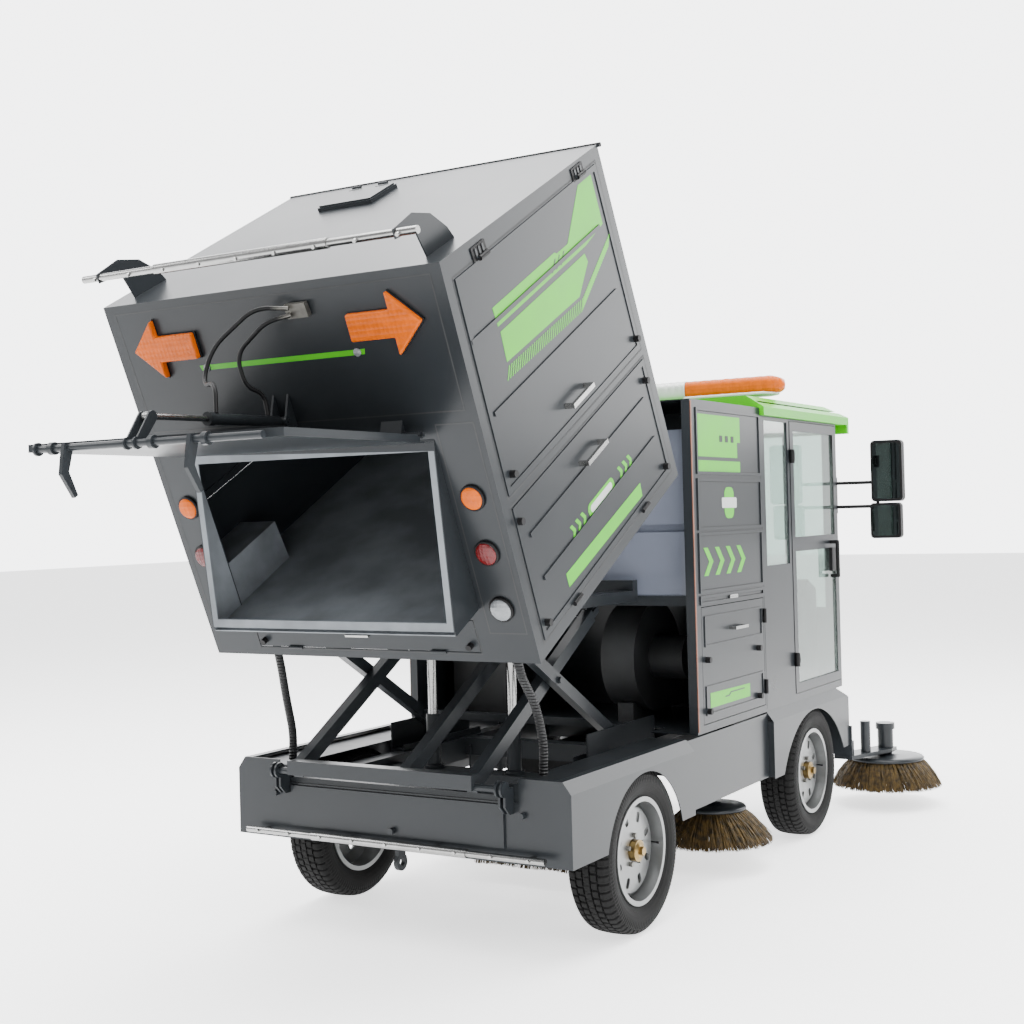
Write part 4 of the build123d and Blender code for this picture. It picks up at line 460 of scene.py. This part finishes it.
class SWEEPER_OT_brushes(bpy.types.Operator):
    """Build the side brushes and the main broom out of single bristles"""
    bl_idname = "sweeper.brushes"
    bl_label = "Brushes"

    def execute(self, context):
        sizes = context.scene.sweeper_sizes
        rng = np.random.default_rng(7)
        for kind, tip_z, tip_r, plate_r in (("front", 0.092, 0.268, 0.184), ("middle", 0.110, 0.245, 0.135)):
            for side, sign in SIDES:
                joint = JOINTS[f"{kind}_brush_{side}_spin"]["pos_m"]
                body = f"{kind}_brush_{side}"
                centre = np.array(joint)
                n = sizes.strands
                tufts = 64
                ring = rng.integers(0, 3, n)
                tuft = rng.integers(0, tufts, n) + 0.33 * ring
                angle = tuft / tufts * 2 * np.pi + rng.normal(0, 0.018, n)
                root_r = plate_r - 0.016 - 0.022 * ring + rng.normal(0, 0.003, n)
                tip_angle = angle + 0.10 + rng.normal(0, 0.035, n)
                reach = tip_r - 0.003 - 0.026 * ring - np.abs(rng.normal(0, 0.010, n))
                floor = tip_z + 0.003 + np.abs(rng.normal(0, 0.007, n))
                root = np.stack([centre[0] + root_r * np.cos(angle), centre[1] + root_r * np.sin(angle),
                                 np.full(n, centre[2] + 0.004)], 1)
                tip = np.stack([centre[0] + reach * np.cos(tip_angle),
                                centre[1] + reach * np.sin(tip_angle), floor], 1)
                out = np.stack([np.cos(angle), np.sin(angle), np.full(n, 0.35)], 1)
                bow = out * (0.006 + rng.normal(0, 0.003, n))[:, None]
                bristles = strands(f"bristles_{kind}_{side}", root, tip, bow, sizes.strand_radius,
                                   MATERIALS["bristle_wire"], body)
                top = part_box(f"{kind}_brush_{side}")[1].z - centre[2]
                plate = lathe([(0.0, 0), (0.0, plate_r - 0.012), (0.002, plate_r - 0.002), (0.006, plate_r),
                               (0.012, plate_r), (0.018, plate_r - 0.006), (0.0195, plate_r - 0.05),
                               (0.024, 0.075), (0.026, 0.032), (top, 0.030), (top, 0)], centre, (0, 0, 1), 72)
                cover = build(f"brush_plate_{kind}_{side}", *plate, MATERIALS["body_enamel"], body)
                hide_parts(body)
        axis = np.array(JOINTS["main_broom_spin"]["pos_m"])
        n = 5200
        along = rng.uniform(-0.325, 0.325, n)
        row = rng.integers(0, 8, n)
        angle = row * np.pi / 4 + along * 3.2 + rng.normal(0, 0.05, n)
        root_r, tip_r = 0.05, 0.130 - np.abs(rng.normal(0, 0.003, n))
        radial = np.stack([np.zeros(n), np.cos(angle), np.sin(angle)], 1)
        place = axis + np.stack([along, np.zeros(n), np.zeros(n)], 1)
        broom = strands("broom_bristles", place + radial * root_r, place + radial * tip_r[:, None],
                        np.stack([np.zeros(n), -np.sin(angle), np.cos(angle)], 1) * 0.005, 0.0016,
                        MATERIALS["bristle_wire"], "broom")
        core = lathe([(-0.35, 0), (-0.35, 0.016), (-0.33, 0.016), (-0.33, 0.054), (0.33, 0.054), (0.33, 0.016),
                      (0.35, 0.016), (0.35, 0)], axis, (1, 0, 0), 40)
        barrel = build("broom_core", *core, MATERIALS["black_moulding"], "broom", smooth=False)
        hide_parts("main_broom")
        return {"FINISHED"}


def light_section(name, x0, x1, y, z, size, material, round_start, round_end):
    """A light-bar length: a superellipse of (width, height) whose size closes to its ends as a quarter ellipse."""
    steps = 40
    t = np.linspace(0, 1, steps)
    x = x0 + (x1 - x0) * t
    shrink = np.ones(steps)
    if round_start:
        shrink = np.minimum(shrink, np.sqrt(np.clip(1 - (1 - np.clip(t / 0.16, 0, 1)) ** 2, 0, 1)))
    if round_end:
        shrink = np.minimum(shrink, np.sqrt(np.clip(1 - (1 - np.clip((1 - t) / 0.16, 0, 1)) ** 2, 0, 1)))
    ribs = 1 + 0.012 * np.sign(np.sin(t * 60 * np.pi))
    angle = np.linspace(0, 2 * np.pi, 48, endpoint=False)
    power = 0.62
    cy = np.sign(np.cos(angle)) * np.abs(np.cos(angle)) ** power
    cz = np.sign(np.sin(angle)) * np.abs(np.sin(angle)) ** power
    scale = (shrink * ribs)[:, None]
    along = np.broadcast_to(x[:, None], (steps, 48))
    points = np.stack([along, y + size[0] * scale * cy, z + size[1] * scale * cz], -1)
    verts = np.vstack([points.reshape(-1, 3), [[x0, y, z], [x1, y, z]]])
    faces = grid_faces(steps, 48, wrap_columns=True).tolist()
    ends = [[steps * 48, (k + 1) % 48, k] for k in range(48)]
    base = (steps - 1) * 48
    ends += [[steps * 48 + 1, base + k, base + (k + 1) % 48] for k in range(48)]
    return build(name, verts, faces + ends, material, "chassis")


class SWEEPER_OT_lamps(bpy.types.Operator):
    """Build the light bar, the arrow lamps and the round rear lamps"""
    bl_idname = "sweeper.lamps"
    bl_label = "Lamps"

    def execute(self, context):
        m = MATERIALS
        low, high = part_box("light_bar")
        y, z = (low.y + high.y) / 2, high.z - 0.049
        for side, sign in SIDES:
            dome = light_section(f"beacon_{side}", sign * 0.165, sign * (high.x - 0.001), y, z + 0.004,
                                 (0.056, 0.043), m["amber_lens"], False, True)
            shoe = light_section(f"beacon_shoe_{side}", sign * 0.16, sign * (high.x - 0.03), y, z - 0.034,
                                 (0.058, 0.012), m["silver_housing"], False, True)
            foot = prism(rounded(0.05, 0.06, 0.01), (sign * 0.30, y, z - 0.026), X_DIR, (0, 1, 0), 0.042)
            foot = build(f"beacon_foot_{side}", *foot, m["black_moulding"], "chassis", smooth=False)
        centre = light_section("beacon_centre", -0.168, 0.168, y, z, (0.0605, 0.048), m["silver_housing"],
                               False, False)
        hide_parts("light_bar")
        lens_of = {0.572: "amber_lens", 0.386: "red_lens", 0.192: "clear_lens"}
        for side, sign in SIDES:
            for height, lens in lens_of.items():
                spot = HOPPER_ORIGIN + X_DIR * sign * 0.583 + REAR_UP * height
                ring = lathe([(0.0005, 0.036), (0.0005, 0.043), (0.008, 0.043), (0.011, 0.041), (0.012, 0.037),
                              (0.006, 0.0355)], spot, REAR_OUT, 56)
                build(f"lamp_ring_{lens}_{side}", *ring, m["black_moulding"], "hopper")
                r = np.linspace(0.0365, 0, 26)
                crown = np.sqrt(np.clip(1 - (r / 0.0372) ** 2, 0, 1))
                dome = np.stack([0.010 + 0.011 * crown + 0.0006 * np.cos(r * 1500), r], 1)
                cover = lathe(np.vstack([[[0.001, 0], [0.001, 0.0365]], dome]), spot, REAR_OUT, 56)
                build(f"lamp_lens_{lens}_{side}", *cover, m[lens], "hopper")
            tail, head = 0.133, -0.132
            shape = [(head, 0), (-0.027, -0.098), (-0.027, -0.043), (tail, -0.043), (tail, 0.043), (-0.027, 0.043),
                     (-0.027, 0.098)]
            shape = np.array(shape) * [-sign, 1]
            shape = shape if sign < 0 else shape[::-1]
            spot = HOPPER_ORIGIN + X_DIR * sign * 0.444 + REAR_UP * 1.141 + REAR_OUT * 0.026
            solid = prism(shape, spot, X_DIR, REAR_UP, 0.0255)
            lens = bevel(build(f"arrow_{side}", *solid, m["amber_lens"], "hopper", smooth=False), 0.006, 3)
            solid = prism(shape * 1.035, spot - REAR_OUT * 0.0165, X_DIR, REAR_UP, 0.009)
            back = bevel(build(f"arrow_back_{side}", *solid, m["black_moulding"], "hopper", smooth=False))
        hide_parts("hopper_lamps")
        return {"FINISHED"}


def marking(name, outline, origin, across, up, material, body, lift):
    """A marking: a thin flat outline that stands just off its panel."""
    normal = np.cross(across, up)
    verts, faces = prism(outline, np.asarray(origin) + normal * lift, across, up, lift * 0.6)
    piece = build(name, verts, faces, material, body, smooth=False)
    return piece


def corner_normals(outline):
    """An outline's corners, and for each the outward step that moves both of its sides out by one unit: the sum
    of the two sides' normals over one plus the cosine of the turn."""
    ring = np.asarray(outline, float)
    before, after = ring - np.roll(ring, 1, 0), np.roll(ring, -1, 0) - ring
    before /= np.linalg.norm(before, axis=1, keepdims=True)
    after /= np.linalg.norm(after, axis=1, keepdims=True)
    normal = np.stack([before[:, 1] + after[:, 1], -before[:, 0] - after[:, 0]], 1)
    normal /= (1 + np.sum(before * after, axis=1, keepdims=True))
    return ring, normal


def seam(name, outline, width, origin, across, up, body, lift, material=None, inside=False):
    """A closed line of the given width that follows an outline on a panel: each corner is moved along the
    bisector of its two sides, so both edges stay parallel to the outline."""
    ring, normal = corner_normals(outline)
    inner, outer = ring - normal * width / 2, ring + normal * width / 2
    flat = np.vstack([inner, outer])
    face = np.asarray(origin) + flat[:, :1] * across + flat[:, 1:] * up + np.cross(across, up) * lift
    count = len(ring)
    k = np.arange(count)
    faces = np.stack([k, k + count, (k + 1) % count + count, (k + 1) % count], 1)
    piece = build(name, face, faces, material or MATERIALS["dark_recess"], body, smooth=False, seal=False)
    return piece


def raised_frame(name, outline, width, height, origin, across, up, body, material=None):
    """A raised rim round a panel: a band along the outline, lifted by the height, with its walls."""
    ring, normal = corner_normals(outline)
    inner, outer = ring - normal * width, ring
    shapes = [(outer, 0.0002), (outer, height), (inner, height), (inner, 0.0002)]
    out = np.cross(across, up)
    rows = [np.asarray(origin) + edge[:, :1] * across + edge[:, 1:] * up + out * lift for edge, lift in shapes]
    faces = grid_faces(4, len(ring), wrap_rows=True, wrap_columns=True)
    piece = build(name, np.vstack(rows), faces, material or MATERIALS["body_enamel"], body, smooth=False)
    return piece


def rectangle(x0, x1, y0, y1):
    return [(x0, y0), (x1, y0), (x1, y1), (x0, y1)]


def hinge_leaf(name, spot, along, up, body):
    """A folded hinge leaf with three slots' worth of raised ribs across it."""
    out = np.cross(along, up)
    plate = prism(rounded(0.088, 0.046, 0.004), np.asarray(spot) + out * 0.004, along, up, 0.0036)
    leaf = bevel(build(name, *plate, MATERIALS["black_moulding"], body, smooth=False), 0.001)
    for k in range(3):
        outline = rounded(0.010, 0.030, 0.003) + [(k - 1) * 0.022, 0.0]
        rib = prism(outline, np.asarray(spot) + out * 0.0065, along, up, 0.0024)
        build(f"{name}_rib_{k}", *rib, MATERIALS["body_enamel"], body, smooth=False)


class SWEEPER_OT_panels(bpy.types.Operator):
    """Lay the joint lines, raised rims, hinge leaves and edge trims on the sheet metal"""
    bl_idname = "sweeper.panels"
    bl_label = "Panel joints and hinges"

    def execute(self, context):
        m = MATERIALS
        rear = HOPPER_ORIGIN
        for name, box, width in (("top", rectangle(-0.632, 0.632, 0.852, 1.268), 0.0045),
                                 ("flap", rectangle(-0.464, 0.464, 0.028, 0.153), 0.003)):
            seam(f"rear_seam_{name}", box, width, rear, X_DIR, REAR_UP, "hopper", 0.0005)
        for side, sign in SIDES:
            lamps = rectangle(sign * 0.583 - 0.068, sign * 0.583 + 0.068, 0.105, 0.812)
            seam(f"rear_seam_lamps_{side}", lamps, 0.0045, rear, X_DIR, REAR_UP, "hopper", 0.0005)
            origin, across, up = on_hopper_side(sign)
            flip = lambda pts: (np.array(pts) * [sign, 1]) if sign > 0 else (np.array(pts) * [sign, 1])[::-1]
            for kind, v0, v1, inset in (("upper", 0.532, 1.225, 0.045), ("lower", 0.042, 0.506, 0.045)):
                corner = lambda v, back: (0.1139 * v + back) if back > 0 else (1.217 + 0.0403 * v + back)
                edge = [(corner(v0, inset), v0), (corner(v0, -inset), v0), (corner(v1, -inset), v1),
                        (corner(v1, inset), v1)]
                seam(f"joint_{kind}_{side}", flip(edge), 0.006, origin, across, up, "hopper", 0.0004)
                rim = [(corner(v0, 0.053), v0 + 0.008), (corner(v0, -0.053), v0 + 0.008),
                       (corner(v1, -0.053), v1 - 0.008), (corner(v1, 0.053), v1 - 0.008)]
                raised_frame(f"door_rim_{kind}_{side}", flip(rim), 0.020, 0.0035, origin, across, up,
                             f"{kind}_door_{side}")
            for k, (u, v) in enumerate(((0.359, 1.240), (1.077, 1.235))):
                hinge_leaf(f"hinge_leaf_{k}_{side}", origin + across * u * sign + up * v, across, up, "hopper")
            start = np.array([sign * BODY_HALF, REAR_AXLE_Y, 0.0])
            across, up = np.array([0.0, sign, 0.0]), np.array([0.0, 0.0, 1.0])
            for name, z0, z1 in (("top", 1.622, 1.882), ("middle", 1.404, 1.606), ("low", 1.160, 1.394),
                                 ("latch", 1.114, 1.150)):
                box = flip(rectangle(0.578, 1.232, z0, z1))
                raised_frame(f"panel_rim_{name}_{side}", box, 0.011, 0.005, start, across, up, "chassis")
                inner = flip(rectangle(0.590, 1.220, z0 + 0.012, z1 - 0.012))
                seam(f"panel_shade_{name}_{side}", inner, 0.003, start, across, up, "chassis", 0.0004)
            latch = rounded(0.080, 0.014, 0.005) + [0.90, 1.132]
            solid = prism(flip(latch), start + X_DIR * sign * 0.009, across, up, 0.0085)
            piece = bevel(build(f"panel_latch_{side}", *solid, m["bright_steel"], "chassis", smooth=False), 0.002)
            host = "access_door" if sign > 0 else "chassis"
            for name, z0, z1 in (("upper", 0.950, 1.070), ("lower", 0.683, 0.798)):
                box = flip(rectangle(0.612, 1.204, z0, z1))
                raised_frame(f"access_rim_{name}_{side}", box, 0.008, 0.004, start, across, up, host)
            trim = flip(rectangle(0.531, 0.540, 0.630, 1.905))
            strip = build(f"bay_trim_{side}", *prism(trim, start + X_DIR * sign * 0.003, across, up, 0.0028),
                          m["edge_trim"], "chassis", smooth=False)
            joint = flip(rectangle(1.2415, 1.2445, 0.632, 1.900))
            solid = prism(joint, start + X_DIR * sign * 0.0006, across, up, 0.0004)
            line = build(f"cab_joint_{side}", *solid, m["dark_recess"], "chassis", smooth=False)
        return {"FINISHED"}


class SWEEPER_OT_markings(bpy.types.Operator):
    """Lay the lime panels, stripes and plain badges on the hopper and the body"""
    bl_idname = "sweeper.markings"
    bl_label = "Markings"

    def execute(self, context):
        m, lift = MATERIALS, context.scene.sweeper_sizes.decal_lift
        for side, sign in SIDES:
            origin, across, up = on_hopper_side(sign)
            flip = lambda pts: (np.array(pts) * [sign, 1]) if sign > 0 else (np.array(pts) * [sign, 1])[::-1]
            body = f"upper_door_{side}"
            low = [(0.328, 0.890), (0.866, 0.875), (0.985, 0.952), (0.978, 0.984), (0.343, 0.984)]
            mid = [(0.338, 1.003), (1.00, 1.003), (1.157, 1.022), (1.165, 1.200), (1.071, 1.205), (0.885, 1.055),
                   (0.80, 1.055), (0.786, 1.064), (0.338, 1.064)]
            marking(f"flash_low_{side}", flip(low), origin, across, up, m["lime_film"], body, lift)
            marking(f"flash_high_{side}", flip(mid), origin, across, up, m["lime_film"], body, lift)
            for k in range(3):
                u = 0.735 + 0.034 * k
                slash = [(u, 1.012), (u + 0.008, 1.012), (u + 0.048, 1.046), (u + 0.040, 1.046)]
                marking(f"slash_{k}_{side}", flip(slash), origin, across, up, m["body_enamel"], body, lift * 2.2)
            # a band of slanted bars that turns up at the front end of the flash
            count = 62
            t = np.linspace(0, 1, count)
            u = np.interp(t, [0, 0.56, 1], [0.32, 0.87, 1.165])
            v = np.interp(t, [0, 0.56, 1], [0.862, 0.848, 0.960])
            half, lean = 0.0036, 0.016
            quad = np.stack([np.stack([u - half - lean, v - 0.022], 1),
                             np.stack([u + half - lean, v - 0.022], 1),
                             np.stack([u + half + lean, v + 0.014], 1),
                             np.stack([u - half + lean, v + 0.014], 1)], 1)
            flat = quad.reshape(-1, 2)
            outward = np.cross(across, up)
            place = origin + flat[:, :1] * sign * across + flat[:, 1:] * up + outward * lift
            faces = np.arange(len(flat)).reshape(-1, 4)
            bars = build(f"bars_{side}", place, faces if sign > 0 else faces[:, ::-1], m["lime_film"], body,
                         smooth=False, seal=False)
            body = f"lower_door_{side}"
            stripe = [(0.284, 0.102), (0.910, 0.086), (0.920, 0.134), (0.289, 0.150)]
            marking(f"stripe_{side}", flip(stripe), origin, across, up, m["lime_film"], body, lift)
            badge = (rounded(0.215, 0.048, 0.022) + [0.637, 0.238])
            marking(f"badge_{side}", flip(badge), origin, across, up, m["lime_film"], body, lift)
            inner = (rounded(0.178, 0.026, 0.012) + [0.637, 0.238])
            marking(f"badge_field_{side}", flip(inner), origin, across, up, m["silver_housing"], body, lift * 2)
            for k in range(3):
                for start in (0.39, 0.79):
                    u = start + 0.042 * k
                    chevron = [(u, 0.216), (u + 0.018, 0.216), (u + 0.034, 0.240), (u + 0.018, 0.264), (u, 0.264),
                               (u + 0.016, 0.240)]
                    marking(f"chevron_{k}_{int(start * 100)}_{side}", flip(chevron), origin, across, up,
                            m["lime_film"], body, lift)
        # rear face
        origin = HOPPER_ORIGIN
        stripe = [(-0.33, 1.052), (0.33, 1.052), (0.335, 1.069), (-0.335, 1.069)]
        marking("rear_stripe", stripe, origin, X_DIR, REAR_UP, m["lime_film"], "hopper", lift)
        for side, sign in SIDES:
            spot = origin + X_DIR * sign * 0.305 + REAR_UP * 1.0605
            reflector = lathe([(0.0006, 0), (0.0006, 0.014), (0.004, 0.0135), (0.006, 0.010), (0.006, 0)], spot,
                              REAR_OUT, 32)
            build(f"reflector_{side}", *reflector, m["clear_lens"], "hopper")
            # the plain panels behind the cab
            start = np.array([sign * BODY_HALF, REAR_AXLE_Y, 0.0])
            across, up = np.array([0.0, sign, 0.0]), np.array([0.0, 0.0, 1.0])
            flip = lambda pts: (np.array(pts) * [sign, 1]) if sign > 0 else (np.array(pts) * [sign, 1])[::-1]
            field = [(0.600, 1.692), (0.988, 1.692), (0.988, 1.755), (1.020, 1.755), (1.020, 1.858),
                     (0.600, 1.858)]
            marking(f"panel_field_{side}", flip(field), start, across, up, m["lime_film"], "chassis", lift)
            band = [(0.600, 1.631), (1.016, 1.631), (1.016, 1.677), (0.600, 1.677)]
            marking(f"panel_band_{side}", flip(band), start, across, up, m["lime_film"], "chassis", lift)
            for k in range(3):
                slot = rounded(0.030, 0.026, 0.004) + [0.822 + 0.058 * k, 1.766]
                marking(f"panel_slot_{k}_{side}", flip(slot), start, across, up, m["dark_recess"], "chassis",
                        lift * 2)
            shield = rounded(0.095, 0.125, 0.030) + [0.892, 1.510]
            marking(f"round_badge_{side}", flip(shield), start, across, up, m["lime_film"], "chassis", lift)
            bar = rounded(0.150, 0.042, 0.008) + [0.892, 1.510]
            marking(f"badge_bar_{side}", flip(bar), start, across, up, m["silver_housing"], "chassis", lift * 2)
            for k in range(4):
                y = 0.625 + 0.110 * k
                wave = [(y, 1.225), (y + 0.040, 1.225), (y + 0.092, 1.280), (y + 0.040, 1.335), (y, 1.335),
                        (y + 0.052, 1.280)]
                marking(f"arrow_mark_{k}_{side}", flip(wave), start, across, up, m["lime_film"], "chassis", lift)
            host = "access_door" if sign > 0 else "chassis"
            box = [(0.655, 0.709), (1.058, 0.709), (1.058, 0.762), (0.655, 0.767)]
            marking(f"low_field_{side}", flip(box), start, across, up, m["lime_film"], host, lift)
            line = [(0.80, 0.735), (0.84, 0.735), (0.86, 0.747), (1.0, 0.747), (1.0, 0.752), (0.855, 0.752),
                    (0.835, 0.740), (0.80, 0.740)]
            marking(f"low_line_{side}", flip(line), start, across, up, m["body_enamel"], host, lift * 2)
        return {"FINISHED"}


def cushion(name, centre, size, swell, material, seams):
    """A crowned closed form: a superellipsoid whose sides pull in, with sewn channels that dip across it."""
    nu, nv = 72, 96
    a = np.linspace(-np.pi / 2, np.pi / 2, nu)[:, None]
    b = np.linspace(0, 2 * np.pi, nv, endpoint=False)[None, :]
    power = lambda f, e: np.sign(f) * np.abs(f) ** e
    x = power(np.cos(a), 0.35) * power(np.cos(b), 0.32)
    y = power(np.cos(a), 0.35) * power(np.sin(b), 0.32)
    z = power(np.sin(a), 0.60) * np.ones_like(b)
    dip = np.zeros_like(z)
    for at in seams:
        dip = dip + 0.10 * np.exp(-((x - at) / 0.03) ** 2)
    z = z * (1 + swell * (1 - x ** 2) * (1 - y ** 2)) * (1 - dip * (np.abs(z) > 0.35))
    points = np.stack([x * size[0] / 2, y * size[1] / 2, z * size[2] / 2 / (1 + swell)], -1) + np.asarray(centre)
    return build(name, points, grid_faces(nu, nv, wrap_columns=True), material, "chassis")


class SWEEPER_OT_cab_fittings(bpy.types.Operator):
    """Build the seat and the mirror glasses of the cab"""
    bl_idname = "sweeper.cab_fittings"
    bl_label = "Cab fittings"

    def execute(self, context):
        m = MATERIALS
        low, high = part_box("driver_seat")
        y = low.y
        seat = cushion("seat_cushion", (0.02, y + 0.28, 0.905), (0.45, 0.46, 0.105), 0.25, m["seat_cloth"],
                       (-0.55, 0.55))
        back = cushion("seat_back", (0.02, 0, 0), (0.43, 0.58, 0.12), 0.25, m["seat_cloth"], (-0.55, 0.55))
        lean = Matrix.Translation((0, y + 0.07, 1.262)) @ Matrix.Rotation(np.radians(97), 4, "X")
        back.data.transform(lean)
        solid = prism(rounded(0.39, 0.31, 0.02), (0.02, y + 0.25, 0.848), X_DIR, (0, 1, 0), 0.22)
        plinth = build("seat_plinth", *solid, m["black_moulding"], "chassis", smooth=False)
        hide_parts("driver_seat")
        for side, sign in SIDES:
            body = f"mirror_{side}"
            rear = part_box(body)[0].y
            for name, x, z, size, radius, back_y in (("large", 0.917, 1.647, (0.128, 0.262), 0.016, 0.0),
                                                     ("small", 0.907, 1.412, (0.124, 0.144), 0.015, 0.002)):
                shape = rounded(*size, radius)
                origin = (sign * x, rear + back_y - 0.0008, z)
                glass = build(f"glass_{name}_{side}", *prism(shape, origin, X_DIR, (0, 0, 1), 0.0006),
                              m["mirror_glass"], body, smooth=False)
        return {"FINISHED"}


FLOOR_HALF = 40           # metres from the middle of the floor to its edge
FLOOR_Z = -0.0005         # just under the tyres


class SWEEPER_OT_stage(bpy.types.Operator):
    """Set the pale floor, the soft studio lights and the camera"""
    bl_idname = "sweeper.stage"
    bl_label = "Stage"

    def execute(self, context):
        scene = context.scene
        floor_material = finish("studio_floor", (0.90, 0.90, 0.90), 0.8, 0.0, 0.01, 0.6, glow=1.7, shine=0.1)
        mesh = bpy.data.meshes.new("floor")
        corners = [(-FLOOR_HALF, -FLOOR_HALF), (FLOOR_HALF, -FLOOR_HALF), (FLOOR_HALF, FLOOR_HALF),
                   (-FLOOR_HALF, FLOOR_HALF)]
        mesh.from_pydata([(x, y, FLOOR_Z) for x, y in corners], [], [[0, 1, 2, 3]])
        mesh.materials.append(floor_material)
        floor = bpy.data.objects.new("floor", mesh)
        scene.collection.objects.link(floor)
        world = bpy.data.worlds.new("studio")
        world.use_nodes = True
        tree = world.node_tree
        sky = tree.nodes["Background"]
        sky.inputs["Color"].default_value = (0.985, 0.99, 1.0, 1)
        toward = tree.nodes.new("ShaderNodeVectorMath")
        toward.operation = "DOT_PRODUCT"
        toward.inputs[1].default_value = (-0.52, 0.854, 0.0)
        spread = tree.nodes.new("ShaderNodeMapRange")
        spread.interpolation_type = "SMOOTHSTEP"
        spread.inputs["From Min"].default_value = 0.5
        spread.inputs["From Max"].default_value = 0.86
        spread.inputs["To Min"].default_value = 0.75
        spread.inputs["To Max"].default_value = 5.2
        tree.links.new(tree.nodes.new("ShaderNodeTexCoord").outputs["Generated"], toward.inputs["Vector"])
        tree.links.new(toward.outputs["Value"], spread.inputs["Value"])
        tree.links.new(spread.outputs["Result"], sky.inputs["Strength"])
        scene.world = world
        for name, place, aim, size, power in (
                ("key", (6.5, -3.5, 6.0), (0, -0.3, 1.2), 4.5, 520),
                ("left", (-6.5, -3.5, 5.0), (0, 0, 1.3), 4.0, 420),
                ("top", (0.0, -0.5, 8.5), (0, -0.5, 0), 9.0, 2300),
                ("front", (4.0, 6.0, 4.0), (0, 1, 1), 4.0, 300)):
            light = bpy.data.lights.new(name, "AREA")
            light.size = size
            light.energy = power
            lamp = bpy.data.objects.new(name, light)
            way = Vector(aim) - Vector(place)
            lamp.matrix_world = Matrix.Translation(place) @ way.to_track_quat("-Z", "Y").to_matrix().to_4x4()
            scene.collection.objects.link(lamp)
        camera_data = bpy.data.cameras.new("camera")
        camera_data.sensor_width = 36
        camera_data.lens = 51.36
        camera_data.shift_y = -0.003
        camera = bpy.data.objects.new("camera", camera_data)
        right, up, back = (0.8539, 0.5197, -0.0268), (0.0257, 0.0092, 0.9996), (0.5198, -0.8543, -0.0055)
        turn = Matrix((right, up, back)).transposed()
        camera.matrix_world = Matrix.Translation((2.991, -4.6115 + REAR_AXLE_Y, 1.4755)) @ turn.to_4x4()
        scene.collection.objects.link(camera)
        scene.camera = camera
        return {"FINISHED"}


STEPS = (SWEEPER_OT_paint_frame, SWEEPER_OT_tyres, SWEEPER_OT_brushes, SWEEPER_OT_lamps, SWEEPER_OT_panels,
         SWEEPER_OT_markings, SWEEPER_OT_cab_fittings, SWEEPER_OT_stage)


class SWEEPER_PT_panel(bpy.types.Panel):
    bl_label = "Sweeper"
    bl_space_type = "VIEW_3D"
    bl_region_type = "UI"
    bl_category = "Sweeper"

    def draw(self, context):
        for group in (context.scene.sweeper_colours, context.scene.sweeper_sizes):
            for name in group.bl_rna.properties.keys():
                if name not in ("rna_type", "name"):
                    self.layout.prop(group, name)
        for step in STEPS:
            self.layout.operator(step.bl_idname)


def register():
    for cls in (SweeperColours, SweeperSizes, *STEPS, SWEEPER_PT_panel):
        bpy.utils.register_class(cls)
    bpy.types.Scene.sweeper_colours = bpy.props.PointerProperty(type=SweeperColours)
    bpy.types.Scene.sweeper_sizes = bpy.props.PointerProperty(type=SweeperSizes)


def unregister():
    del bpy.types.Scene.sweeper_sizes
    del bpy.types.Scene.sweeper_colours
    for cls in reversed((SweeperColours, SweeperSizes, *STEPS, SWEEPER_PT_panel)):
        bpy.utils.unregister_class(cls)


def main():
    register()
    for step in STEPS:
        group, name = step.bl_idname.split(".")
        getattr(getattr(bpy.ops, group), name)()


if __name__ == "__main__":
    main()
